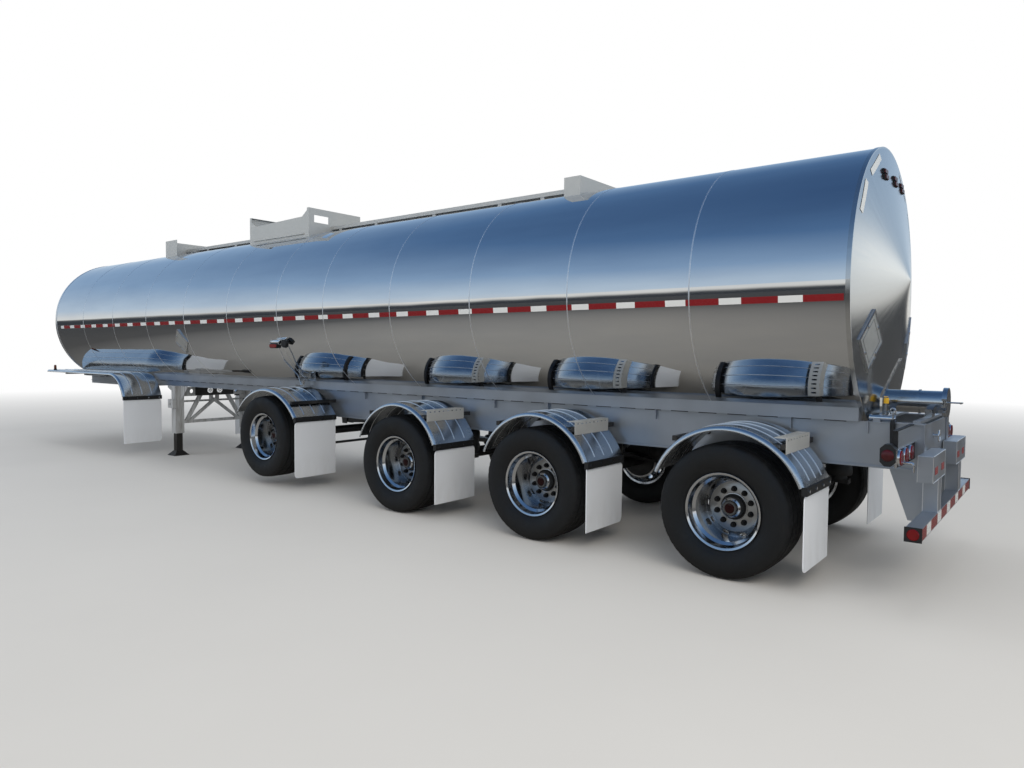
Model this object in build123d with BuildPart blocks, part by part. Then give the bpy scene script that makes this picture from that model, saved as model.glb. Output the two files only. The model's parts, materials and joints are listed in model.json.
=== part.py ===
from build123d import *
import os
from math import acos, asin, atan2, cos, degrees, hypot, pi, radians, sin, sqrt

# Four-axle tanker semi-trailer, standing on its landing legs.
# Millimetres. +X is forward, +Y is the trailer's left side, +Z is up, and the ground is Z = 0.
# Stations along the trailer are measured forward from the rearmost axle, and at() turns
# them into X, whose zero is half way between the two ends of the trailer.

# Tank
TANK_R = 1130
TANK_LOW = 1128
TANK_Z = TANK_LOW + TANK_R
TANK_TOP = TANK_Z + TANK_R
REAR_RIM = -810
SHEET = 1173
SHEETS_AFT = 5
SHEETS_FORE = 6
SHORT_SHEET = 950
FRONT_RIM = REAR_RIM + (SHEETS_AFT + SHEETS_FORE) * SHEET + SHORT_SHEET
HEAD_DEPTH = 268
HEAD_KNUCKLE = 200
CONE_DEPTH = 215
CONE_TIP_UP = 75
CONE_TIP_R = 14
RIM_BAND = 32
RIM_PROUD = 6
SEAT = 0.3

# Wheels, measured outward from the centre plane
TYRE_R = 522
TYRE_OUT = 1295
TYRE_WIDE = 445
RIM_LIP_R = 298.5
RIM_LIP_OUT = 1262
RIM_WIDE = 370
DISC_OUT = 1012
DISC_THICK = 27
DRUM_R = 212
DRUM_IN = 812
AXLE_PITCH = 1820
STEER_GAP = 2475
STEER_LIFT = 103
FIXED_AXLES = (0, AXLE_PITCH, 2 * AXLE_PITCH)
STEER_AXLE = FIXED_AXLES[-1] + STEER_GAP
AXLE_Z = TYRE_R
STEER_Z = AXLE_Z + STEER_LIFT
SPINDLE_R = 45
SPINDLE_END = 1050
RUN_GAP = 0.3
BEAM_R = 64
STEER_BEAM_R = 54
SHIELD_R = 190
SHIELD_THICK = 10
DRUM_GAP = 6

# Steering
KINGPIN_Y = 742
KINGPIN_R = 22
BOSS_R = 44
BOSS_TALL = 150
LUG_GAP = 5
LUG_TALL = 36
ARM_BACK = 260

# Frame
RAIL_OUT = 580
RAIL_WEB = 12
RAIL_BOTTOM = 890
FLANGE_THICK = 12
FLANGE_IN = 470
FLANGE_OUT = 600
PAD_BOTTOM = 1225
PAD_OUT = 642
PAD_IN = 530
RAIL_REAR = -1249
DEEP_END = 6250
TAPER_END = 6950
SHALLOW_BOTTOM = 1150
RAIL_FRONT = 12900

# Fenders and flaps
FENDER_OUT = 1290
FENDER_WIDE = 620
FENDER_R = 640
FENDER_UP = 24
FENDER_BACK = 20
FENDER_THICK = 3
FENDER_END = 262
LIP_R = 16
LIP_DROP = 7
STEER_FENDER_R = 796
STEER_FENDER_BACK = 66
STEER_FENDER_TOP = 1250
STEER_FENDER_END = 290
FLAP_THICK = 8
HANGER_TALL = 62
FLAP_FLOOR = 165

# Landing legs
LEG_X = 9560
LEG_Y = 610
LEG_BOX = 140
LEG_FOOT = 250
LEG_INNER = 100
LEG_SPLIT = 362
LEG_BOTTOM = 20
FOOT_TALL = 75
CROSS_SHAFT_Z = 880
CROSS_SHAFT_R = 16
CRANK_Z = LEG_SPLIT + 490
CRANK_R = 13
CRANK_OUT = 80
GEAR_TALL = 140
GEAR_DEEP = 55
GEAR_LIP = 12
GUSSET_OFF = 4
GUSSET_THICK = 12
GUSSET_FORE = ((-1, 0), (290, 0), (290, 35), (90, 120), (30, 260), (-1, 400))
GUSSET_AFT = ((-1, 0), (200, 0), (200, 35), (-1, 240))

# Rear end
BUMPER_REAR = -1345
BUMPER_DEEP = 96
BUMPER_HALF = 1253
BUMPER_Z = 508
BUMPER_TALL = 88
PAD_BOX_IN = 309
PAD_BOX_OUT = 857
PAD_BOX_Z = 840
PAD_BOX_TALL = 186
POST_IN = 470
POST_OUT = 610
TUBE_R = 90
TUBE_Z = TANK_LOW + 232
TUBE_FLANGE_R = 117
TUBE_END = -1317
HANDLE_END = -1411

# Top
DAM_REAR = 6245
DAM_FRONT = 7670
DAM_HALF = 450
DAM_TOP = TANK_TOP + 302
DAM_SIDE_TOP = TANK_TOP + 212
SHEET_METAL = 5
MANWAY_X = (DAM_REAR + DAM_FRONT) / 2
MANWAY_R = 255
MANWAY_WALL = 12
MANWAY_TOP = TANK_TOP + 82
WELL_DEPTH = 600
LID_R = 290
LID_THICK = 14
WALK_LEFT = 70
WALK_RIGHT = -520
WALK_DEEP = 46
WALK_BACK = 2060
WALK_FRONT = 10240
WALK_RIM = 3
WALK_LIP = 22
WALK_LUG = 52
WALK_LUG_THICK = 7
LADDER_X = 7950
LADDER_HALF = 200
LADDER_OFF = 75
LADDER_BAR = 44
LADDER_STEP = 290
WALK_Z = TANK_TOP + 90
END_DAM_TOP = TANK_TOP + 192
TAIL_DAM_TOP = TANK_TOP + 112
FORE_DAM_X = 10280
TAIL_DAM_X = 1865
END_DAM_LEFT = 420
END_DAM_RIGHT = 580
FORE_DAM_RETURN = 380
TAIL_DAM_RETURN = 195

# Front end
DECK_Z = 1345
DECK_FRONT = 13088
DECK_BACK = 10503
QUARTER_R = 541
GUARD_DROP = 373
DECK_IN = 672
COUPLER_Z = TANK_LOW - 43
COUPLER_THICK = 25
COUPLER_FRONT = 12950
COUPLER_BACK = 10900
KINGPIN_STATION = 12400
COUPLER_PIN_R = 25.4
COUPLER_PIN_LONG = 84
PIN_GAP = 0.3
PIN_BOSS_R = 40
PIN_HEAD_R = 55
PIN_HEAD_TALL = 10

MID = ((FRONT_RIM + RIM_BAND + HEAD_DEPTH) + HANDLE_END) / 2
os.makedirs("parts", exist_ok=True)


def at(station):
    """X of a station measured forward from the rearmost axle."""
    return station - MID


def tank_under(y, gap=0.0):
    """Height of the tank's underside at a distance y from its centre plane."""
    return TANK_Z - sqrt((TANK_R + gap) ** 2 - y ** 2)


def tank_over(y, gap=0.0):
    """Height of the tank's upper side at a distance y from its centre plane."""
    return TANK_Z + sqrt((TANK_R + gap) ** 2 - y ** 2)


def block(x, y, z, mode=Mode.ADD):
    """A block between two stations, two distances across and two heights."""
    place = (at((x[0] + x[1]) / 2), (y[0] + y[1]) / 2, (z[0] + z[1]) / 2)
    with Locations(place):
        Box(abs(x[1] - x[0]), abs(y[1] - y[0]), abs(z[1] - z[0]), mode=mode)


def side_plate(points, y, mode=Mode.ADD):
    """A plate between two distances across, its outline given as (station, height) pairs."""
    with BuildSketch(Plane.XZ.offset(-max(y))) as outline:
        Polygon(*[(at(px), pz) for px, pz in points], align=None)
    extrude(outline.sketch, amount=abs(y[1] - y[0]), mode=mode)


def cross_plate(points, x, mode=Mode.ADD):
    """A plate between two stations, its outline given as (distance across, height) pairs."""
    with BuildSketch(Plane.YZ.offset(at(min(x)))) as outline:
        Polygon(*points, align=None)
    extrude(outline.sketch, amount=abs(x[1] - x[0]), mode=mode)


def rod(start, end, radius, mode=Mode.ADD):
    """A round bar between two points, each (station, distance across, height)."""
    low = Vector(at(start[0]), start[1], start[2])
    high = Vector(at(end[0]), end[1], end[2])
    with BuildSketch(Plane(origin=low, z_dir=high - low)) as outline:
        Circle(radius)
    extrude(outline.sketch, amount=(high - low).length, mode=mode)


def keep(piece, label):
    """Names a finished piece and writes it."""
    piece.part.label = label
    export_step(piece.part, f"parts/{label}.step")


def wheel_plane(station, side, height):
    """The half plane of a wheel's profile: outward across is its X, the radius is its Y."""
    return Plane(origin=(at(station), 0, height), x_dir=(0, side, 0), z_dir=(side, 0, 0))


# Tank barrel, with the well under the manway
with BuildPart() as tank_barrel:
    with BuildSketch(Plane.YZ.offset(at(REAR_RIM))):
        with Locations((0, TANK_Z)):
            Circle(TANK_R)
    extrude(amount=FRONT_RIM - REAR_RIM)
    with BuildSketch(Plane.XY.offset(tank_over(0) - WELL_DEPTH)):
        with Locations((at(MANWAY_X), 0)):
            Circle(MANWAY_R)
    extrude(amount=WELL_DEPTH + 1, mode=Mode.SUBTRACT)
keep(tank_barrel, "tank_barrel")

# Front head, dished with a knuckle
crown_r = ((TANK_R - HEAD_KNUCKLE) ** 2 + HEAD_DEPTH ** 2 - HEAD_KNUCKLE ** 2)
crown_r = crown_r / (2 * (HEAD_DEPTH - HEAD_KNUCKLE))
crown_x = HEAD_DEPTH - crown_r
knuckle_turn = atan2(TANK_R - HEAD_KNUCKLE, -crown_x)
head_base = FRONT_RIM + RIM_BAND
with BuildPart() as tank_front_head:
    with BuildSketch(Plane(origin=(at(head_base), 0, TANK_Z), x_dir=(1, 0, 0), z_dir=(0, -1, 0))):
        with BuildLine():
            meet = (crown_x + crown_r * cos(knuckle_turn), crown_r * sin(knuckle_turn))
            middle = (pi / 2 + knuckle_turn) / 2
            bend = (HEAD_KNUCKLE * cos(middle), TANK_R - HEAD_KNUCKLE + HEAD_KNUCKLE * sin(middle))
            shallow = (crown_x + crown_r * cos(knuckle_turn / 2), crown_r * sin(knuckle_turn / 2))
            Line((-RIM_BAND, 0), (-RIM_BAND, TANK_R))
            Line((-RIM_BAND, TANK_R), (0, TANK_R))
            ThreePointArc((0, TANK_R), bend, meet)
            ThreePointArc(meet, shallow, (HEAD_DEPTH, 0))
            Line((HEAD_DEPTH, 0), (-RIM_BAND, 0))
        make_face()
    revolve(axis=Axis((at(head_base), 0, TANK_Z), (1, 0, 0)))
keep(tank_front_head, "tank_front_head")

# Rear cone with its rim band, its tip a little above the tank's centre line
with BuildPart() as tank_rear_cone:
    with BuildSketch(Plane.YZ.offset(at(REAR_RIM - RIM_BAND))):
        with Locations((0, TANK_Z)):
            Circle(TANK_R + RIM_PROUD)
    extrude(amount=RIM_BAND)
    with BuildSketch(Plane.YZ.offset(at(REAR_RIM - RIM_BAND))):
        with Locations((0, TANK_Z)):
            Circle(TANK_R - RIM_PROUD)
    with BuildSketch(Plane.YZ.offset(at(REAR_RIM - CONE_DEPTH))):
        with Locations((0, TANK_Z + CONE_TIP_UP)):
            Circle(CONE_TIP_R)
    loft()
keep(tank_rear_cone, "tank_rear_cone")

# Manway: collar, and the lid that hinges at its rear
lid_hinge_x = MANWAY_X - LID_R - 30
with BuildPart() as manway_collar:
    with BuildSketch(Plane.XY.offset(tank_over(MANWAY_R + MANWAY_WALL) - 20)):
        with Locations((at(MANWAY_X), 0)):
            Circle(MANWAY_R + MANWAY_WALL)
            Circle(MANWAY_R, mode=Mode.SUBTRACT)
    extrude(amount=MANWAY_TOP - tank_over(MANWAY_R + MANWAY_WALL) + 20)
    with BuildSketch(Plane.YZ.offset(at(MANWAY_X - 2 * MANWAY_R))):
        with Locations((0, TANK_Z)):
            Circle(TANK_R + SEAT)
    extrude(amount=4 * MANWAY_R, mode=Mode.SUBTRACT)
    for lug_y in (-90, 70):
        block((lid_hinge_x - 16, MANWAY_X - MANWAY_R + 6), (lug_y, lug_y + 20),
              (MANWAY_TOP - 60, MANWAY_TOP - 2))
        with Locations((at(lid_hinge_x), lug_y + 10, MANWAY_TOP - 2)):
            Cylinder(16, 20, rotation=(90, 0, 0))
keep(manway_collar, "manway_collar")

lid_dome = 55
lid_dome_half = LID_R - 40
lid_dome_r = (lid_dome_half ** 2 + lid_dome ** 2) / (2 * lid_dome)
with BuildPart() as manway_lid:
    with BuildSketch(Plane.XY.offset(MANWAY_TOP + SEAT)):
        with Locations((at(MANWAY_X), 0)):
            Circle(LID_R)
    extrude(amount=LID_THICK)
    with BuildSketch(Plane(origin=(at(MANWAY_X), 0, MANWAY_TOP + LID_THICK), x_dir=(1, 0, 0),
                           z_dir=(0, -1, 0))):
        with BuildLine():
            turn = asin(lid_dome_half / lid_dome_r) / 2
            Line((0, 0), (lid_dome_half, 0))
            ThreePointArc((lid_dome_half, 0), (lid_dome_r * sin(turn), lid_dome - lid_dome_r * (1 - cos(turn))),
                          (0, lid_dome))
            Line((0, lid_dome), (0, 0))
        make_face()
    revolve(axis=Axis((at(MANWAY_X), 0, 0), (0, 0, 1)))
    block((lid_hinge_x, MANWAY_X - LID_R + 40), (-62, 62), (MANWAY_TOP + SEAT, MANWAY_TOP + 12))
    with Locations((at(lid_hinge_x), 0, MANWAY_TOP - 2)):
        Cylinder(14, 124, rotation=(90, 0, 0))
keep(manway_lid, "manway_lid")

# Spill dam round the manway, with a window through its rear wall
with BuildPart() as manway_dam:
    side_low = tank_over(DAM_HALF)
    side_outline = [(DAM_REAR, side_low - 12), (DAM_FRONT, side_low - 12), (DAM_FRONT, DAM_SIDE_TOP + 40),
                    (DAM_FRONT - 170, DAM_SIDE_TOP - 48), (DAM_REAR + 150, DAM_SIDE_TOP - 20),
                    (DAM_REAR, DAM_TOP - 6)]
    for side in (1, -1):
        side_plate(side_outline, (side * DAM_HALF, side * (DAM_HALF - SHEET_METAL)))
        block((DAM_REAR + 100, DAM_FRONT - 100), (side * DAM_HALF, side * (DAM_HALF + 18)),
              (side_low + 40, side_low + 52))
    for face in ((DAM_REAR, DAM_REAR + SHEET_METAL), (DAM_FRONT - SHEET_METAL, DAM_FRONT)):
        block(face, (-DAM_HALF, DAM_HALF), (side_low - 12, DAM_TOP))
    for face in ((DAM_REAR, DAM_REAR + 40), (DAM_FRONT - 40, DAM_FRONT)):
        block(face, (-DAM_HALF, DAM_HALF), (DAM_TOP - SHEET_METAL, DAM_TOP))
        for side in (1, -1):
            block(face, (side * DAM_HALF, side * (DAM_HALF - SHEET_METAL)), (side_low, DAM_TOP))
    block((DAM_REAR - 1, DAM_REAR + 41), (120, 360), (DAM_TOP - 190, DAM_TOP - 90), mode=Mode.SUBTRACT)
    with BuildSketch(Plane.YZ.offset(at(DAM_REAR - 50))):
        with Locations((0, TANK_Z)):
            Circle(TANK_R + SEAT)
    extrude(amount=DAM_FRONT - DAM_REAR + 100, mode=Mode.SUBTRACT)
keep(manway_dam, "manway_dam")

# Walkways fore and aft of the dam: a plank between two side channels, on brackets
walks = ((WALK_BACK, DAM_REAR, (2589, 3195, 4245, 5315, 6050)),
         (DAM_FRONT, WALK_FRONT, (7850, 8700, 9550, 10080)))
with BuildPart() as top_walkways:
    plank_top = WALK_Z - WALK_RIM
    for back, front, brackets in walks:
        block((back, front), (WALK_RIGHT, WALK_LEFT), (plank_top - SHEET_METAL, plank_top))
        for edge, inward in ((WALK_LEFT, -1), (WALK_RIGHT, 1)):
            block((back, front), (edge, edge + inward * SHEET_METAL), (WALK_Z - WALK_DEEP, WALK_Z))
            block((back, front), (edge, edge + inward * WALK_LIP), (WALK_Z - SHEET_METAL, WALK_Z))
            for bracket in brackets:
                block((bracket - WALK_LUG / 2, bracket + WALK_LUG / 2),
                      (edge + inward * SHEET_METAL, edge + inward * (SHEET_METAL + WALK_LUG_THICK)),
                      (tank_over(edge) - WALK_LUG, plank_top - SHEET_METAL / 2))
    with BuildSketch(Plane.YZ.offset(at(WALK_BACK - WALK_LUG))):
        with Locations((0, TANK_Z)):
            Circle(TANK_R + SEAT)
    extrude(amount=WALK_FRONT - WALK_BACK + 2 * WALK_LUG, mode=Mode.SUBTRACT)
keep(top_walkways, "top_walkways")

# Ladder on the right, following the tank's side to the top
ladder_path = [(TANK_R + LADDER_OFF, TANK_Z - 900)]
ladder_path += [((TANK_R + LADDER_OFF) * cos(radians(turn)), TANK_Z + (TANK_R + LADDER_OFF) * sin(radians(turn)))
                for turn in (0, 24, 48, 66)]
with BuildPart() as ladder:
    for (y1, z1), (y2, z2) in zip(ladder_path, ladder_path[1:]):
        run = hypot(y2 - y1, z2 - z1)
        ny, nz = (z2 - z1) / run * LADDER_BAR / 2, -(y2 - y1) / run * LADDER_BAR / 2
        ty, tz = (y2 - y1) / run * 6, (z2 - z1) / run * 6
        for station in (LADDER_X - LADDER_HALF, LADDER_X + LADDER_HALF - 10):
            cross_plate([(-(y1 + ny - ty), z1 + nz - tz), (-(y2 + ny + ty), z2 + nz + tz),
                         (-(y2 - ny + ty), z2 - nz + tz), (-(y1 - ny - ty), z1 - nz - tz)], (station, station + 10))
        steps = round(run / LADDER_STEP)
        for step in range(steps):
            share = (step + 0.5) / steps
            rung = (-(y1 + (y2 - y1) * share), z1 + (z2 - z1) * share)
            rod((LADDER_X - LADDER_HALF + 5, *rung), (LADDER_X + LADDER_HALF - 5, *rung), 13)
    for turn in (-30, 0, 40):
        for station in (LADDER_X - LADDER_HALF, LADDER_X + LADDER_HALF - 10):
            low, high = TANK_R - 10, TANK_R + LADDER_OFF
            if turn < 0:
                block((station, station + 10), (-TANK_R - LADDER_OFF, -low * cos(radians(turn))),
                      (TANK_Z + TANK_R * sin(radians(turn)) - 20, TANK_Z + TANK_R * sin(radians(turn)) + 20))
            else:
                way = (cos(radians(turn)), sin(radians(turn)))
                cross_plate([(-(low * way[0] - 20 * way[1]), TANK_Z + low * way[1] + 20 * way[0]),
                             (-(high * way[0] - 20 * way[1]), TANK_Z + high * way[1] + 20 * way[0]),
                             (-(high * way[0] + 20 * way[1]), TANK_Z + high * way[1] - 20 * way[0]),
                             (-(low * way[0] + 20 * way[1]), TANK_Z + low * way[1] - 20 * way[0])],
                            (station, station + 10))
    with BuildSketch(Plane.YZ.offset(at(LADDER_X - 400))):
        with Locations((0, TANK_Z)):
            Circle(TANK_R + SEAT)
    extrude(amount=800, mode=Mode.SUBTRACT)
keep(ladder, "ladder")

# Small dams at the two ends of the walkways: a wall across, with a short return at each side
with BuildPart() as end_dams:
    end_low = tank_over(END_DAM_RIGHT) - SHEET_METAL
    for wall, inward, reach, top in ((FORE_DAM_X, -1, FORE_DAM_RETURN, END_DAM_TOP),
                                     (TAIL_DAM_X, 1, TAIL_DAM_RETURN, TAIL_DAM_TOP)):
        block((wall, wall + inward * SHEET_METAL), (-END_DAM_RIGHT, END_DAM_LEFT), (end_low, top))
        for edge, across in ((END_DAM_LEFT, -SHEET_METAL), (-END_DAM_RIGHT, SHEET_METAL)):
            block((wall, wall + inward * reach), (edge, edge + across), (end_low, top))
    with BuildSketch(Plane.YZ.offset(at(TAIL_DAM_X - SHEET_METAL))):
        with Locations((0, TANK_Z)):
            Circle(TANK_R + SEAT)
    extrude(amount=FORE_DAM_X - TAIL_DAM_X + 2 * SHEET_METAL, mode=Mode.SUBTRACT)
keep(end_dams, "end_dams")

# Placard holders, blank: two on the cone, and one on each side of the barrel near the front
PLACARD_HALF = 235
PLACARD_SIDE = 195
PLACARD_THICK = 6
PLACARD_INBOARD = 307
PLACARD_TURN = 31
SIDE_PLACARD_X = 8550
SIDE_PLACARD_TURN = 21
cone_slope = atan2(CONE_DEPTH - RIM_BAND, TANK_R - CONE_TIP_R)
with BuildPart() as rear_placards:
    reach = TANK_R - PLACARD_INBOARD
    deep = REAR_RIM - RIM_BAND - (PLACARD_INBOARD - RIM_PROUD) * sin(cone_slope) / cos(cone_slope) - PLACARD_THICK
    for side in (1, -1):
        turn = radians(PLACARD_TURN)
        out = Vector(-cos(cone_slope), side * sin(cone_slope) * cos(turn), -sin(cone_slope) * sin(turn))
        lean = Plane(origin=(at(deep), side * reach * cos(turn), TANK_Z - reach * sin(turn)), x_dir=(0, 1, 0),
                     z_dir=out)
        with BuildSketch(lean):
            RegularPolygon(PLACARD_HALF, 4, rotation=0)
        extrude(amount=-60)
    with BuildSketch(Plane.YZ.offset(at(REAR_RIM - RIM_BAND) - SEAT)):
        with Locations((0, TANK_Z)):
            Circle(TANK_R - RIM_PROUD)
    with BuildSketch(Plane.YZ.offset(at(REAR_RIM - CONE_DEPTH) - SEAT)):
        with Locations((0, TANK_Z + CONE_TIP_UP)):
            Circle(CONE_TIP_R)
    loft(mode=Mode.SUBTRACT)
    block((REAR_RIM - RIM_BAND - SEAT, REAR_RIM + 60), (-TANK_R, TANK_R), (TANK_Z - TANK_R, TANK_Z + TANK_R),
          mode=Mode.SUBTRACT)
keep(rear_placards, "rear_placards")

with BuildPart() as side_placards:
    for side in (1, -1):
        turn = radians(SIDE_PLACARD_TURN)
        reach = TANK_R + PLACARD_THICK
        flat = Plane(origin=(at(SIDE_PLACARD_X), side * reach * cos(turn), TANK_Z - reach * sin(turn)),
                     x_dir=(1, 0, 0), z_dir=(0, side * cos(turn), -sin(turn)))
        with BuildSketch(flat):
            RegularPolygon(PLACARD_SIDE, 4, rotation=0)
        extrude(amount=-60)
    with BuildSketch(Plane.YZ.offset(at(SIDE_PLACARD_X - 600))):
        with Locations((0, TANK_Z)):
            Circle(TANK_R + SEAT)
    extrude(amount=1200, mode=Mode.SUBTRACT)
keep(side_placards, "side_placards")

# Frame rails, one each side: web, bottom flange, stiffeners, and the top plate behind the tank
with BuildPart() as frame_rails:
    for side in (1, -1):
        side_plate([(RAIL_REAR, RAIL_BOTTOM), (DEEP_END, RAIL_BOTTOM), (TAPER_END, SHALLOW_BOTTOM),
                    (RAIL_FRONT, SHALLOW_BOTTOM), (RAIL_FRONT, PAD_BOTTOM), (RAIL_REAR, PAD_BOTTOM)],
                   (side * RAIL_OUT, side * (RAIL_OUT - RAIL_WEB)))
        block((RAIL_REAR, DEEP_END), (side * FLANGE_IN, side * FLANGE_OUT),
              (RAIL_BOTTOM - FLANGE_THICK, RAIL_BOTTOM))
        side_plate([(DEEP_END - 1, RAIL_BOTTOM - FLANGE_THICK), (TAPER_END, SHALLOW_BOTTOM - FLANGE_THICK),
                    (TAPER_END, SHALLOW_BOTTOM), (DEEP_END - 1, RAIL_BOTTOM)],
                   (side * FLANGE_IN, side * FLANGE_OUT))
        block((TAPER_END - 1, RAIL_FRONT), (side * (RAIL_OUT - RAIL_WEB), side * FLANGE_OUT),
              (SHALLOW_BOTTOM - FLANGE_THICK, SHALLOW_BOTTOM))
        block((RAIL_REAR, REAR_RIM - RIM_BAND - 2), (side * (RAIL_OUT - 90), side * (RAIL_OUT + 12)),
              (PAD_BOTTOM - 8, PAD_BOTTOM))
        block((RAIL_REAR, RAIL_REAR + 8), (side * (RAIL_OUT - 90), side * (RAIL_OUT + 12)),
              (RAIL_BOTTOM, PAD_BOTTOM))
        for station in (-870, -300, 900, 2100, 2800, 3900, 4900):
            block((station, station + 8), (side * RAIL_OUT, side * (RAIL_OUT + 30)), (PAD_BOTTOM - 90, PAD_BOTTOM))
keep(frame_rails, "frame_rails")

with BuildPart() as tank_pads:
    for side in (1, -1):
        block((REAR_RIM, FRONT_RIM), (side * PAD_IN, side * PAD_OUT), (PAD_BOTTOM, tank_under(PAD_OUT) + 20))
    with BuildSketch(Plane.YZ.offset(at(REAR_RIM - 50))):
        with Locations((0, TANK_Z)):
            Circle(TANK_R + SEAT)
    extrude(amount=FRONT_RIM - REAR_RIM + 100, mode=Mode.SUBTRACT)
keep(tank_pads, "tank_pads")

# Crossmembers between the rails, and two bars on top of the rails behind the tank
deep_cross = (RAIL_REAR + 10, -420, 940, 2760, 4700, 5600)
top_bars = (-1190, -920)
TOP_BAR_WIDE = 50
TOP_BAR_TALL = 20
with BuildPart() as crossmembers:
    inner = RAIL_OUT - RAIL_WEB
    for station in deep_cross:
        top = TANK_LOW - 18 if station > REAR_RIM - CONE_DEPTH else PAD_BOTTOM - 10
        block((station, station + 8), (-inner, inner), (RAIL_BOTTOM + 20, top))
        block((station, station + 60), (-inner, inner), (RAIL_BOTTOM + 20, RAIL_BOTTOM + 28))
    for station in top_bars:
        block((station - TOP_BAR_WIDE / 2, station + TOP_BAR_WIDE / 2), (-inner, inner),
              (PAD_BOTTOM, PAD_BOTTOM + TOP_BAR_TALL))
keep(crossmembers, "crossmembers")

# Upper coupler: plate, side channels, and the pin that the tractor takes
with BuildPart() as coupler_plate:
    block((COUPLER_BACK, COUPLER_FRONT), (-530, 530), (COUPLER_Z, COUPLER_Z + COUPLER_THICK))
    for side in (1, -1):
        block((COUPLER_BACK, COUPLER_FRONT), (side * 535, side * (RAIL_OUT - RAIL_WEB)),
              (COUPLER_Z, PAD_BOTTOM))
        block((COUPLER_BACK, COUPLER_FRONT), (side * 525, side * 540),
              (COUPLER_Z, COUPLER_Z + COUPLER_THICK))
    rod((KINGPIN_STATION, 0, COUPLER_Z - 10), (KINGPIN_STATION, 0, COUPLER_Z + COUPLER_THICK + 10),
        PIN_BOSS_R + PIN_GAP, mode=Mode.SUBTRACT)
keep(coupler_plate, "coupler_plate")

with BuildPart() as coupler_pin:
    rod((KINGPIN_STATION, 0, COUPLER_Z - COUPLER_PIN_LONG), (KINGPIN_STATION, 0, COUPLER_Z), COUPLER_PIN_R)
    rod((KINGPIN_STATION, 0, COUPLER_Z), (KINGPIN_STATION, 0, COUPLER_Z + COUPLER_THICK), PIN_BOSS_R)
    rod((KINGPIN_STATION, 0, COUPLER_Z + COUPLER_THICK),
        (KINGPIN_STATION, 0, COUPLER_Z + COUPLER_THICK + PIN_HEAD_TALL), PIN_HEAD_R)
keep(coupler_pin, "coupler_pin")

# Front deck: a flat guard over the tractor's wheels that turns down at its rear, each side
guard_centre = DECK_Z - QUARTER_R
guard_foot = DECK_Z - GUARD_DROP
guard_inner = QUARTER_R - FENDER_THICK
guard_reach = sqrt(QUARTER_R ** 2 - (guard_foot - guard_centre) ** 2)
guard_reach_in = sqrt(guard_inner ** 2 - (guard_foot - guard_centre) ** 2)
guard_turn = asin(guard_reach / QUARTER_R)
with BuildPart() as front_guards:
    for side in (1, -1):
        with BuildSketch(Plane.XZ.offset(-max(side * FENDER_OUT, side * DECK_IN))):
            with BuildLine():
                back = at(DECK_BACK)
                Line((at(DECK_FRONT), DECK_Z), (back, DECK_Z))
                ThreePointArc((back, DECK_Z), (back - QUARTER_R * sin(guard_turn / 2),
                                               guard_centre + QUARTER_R * cos(guard_turn / 2)),
                              (back - guard_reach, guard_foot))
                Line((back - guard_reach, guard_foot), (back - guard_reach_in, guard_foot))
                ThreePointArc((back - guard_reach_in, guard_foot),
                              (back - guard_inner * sin(guard_turn / 2),
                               guard_centre + guard_inner * cos(guard_turn / 2)),
                              (back, DECK_Z - FENDER_THICK))
                Line((back, DECK_Z - FENDER_THICK), (at(DECK_FRONT), DECK_Z - FENDER_THICK))
                Line((at(DECK_FRONT), DECK_Z - FENDER_THICK), (at(DECK_FRONT), DECK_Z))
            make_face()
        extrude(amount=FENDER_OUT - DECK_IN)
        edge = FENDER_OUT - LIP_R
        rod((DECK_BACK, side * edge, DECK_Z - LIP_DROP), (DECK_FRONT, side * edge, DECK_Z - LIP_DROP), LIP_R)
        with BuildSketch(Plane(origin=(at(DECK_BACK), side * edge, DECK_Z - LIP_DROP), x_dir=(0, 1, 0),
                               z_dir=(-1, 0, 0))):
            Circle(LIP_R)
        revolve(axis=Axis((at(DECK_BACK), 0, guard_centre), (0, -1, 0)), revolution_arc=degrees(guard_turn) - 1.5)
        for arm in (10700, 11500, 12300):
            block((arm, arm + 50), (side * PAD_OUT, side * (DECK_IN + 30)), (DECK_Z - 65, DECK_Z - 30))
            block((arm, arm + 50), (side * DECK_IN, side * (FENDER_OUT - 30)), (DECK_Z - 65, DECK_Z))
keep(front_guards, "front_guards")

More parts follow.
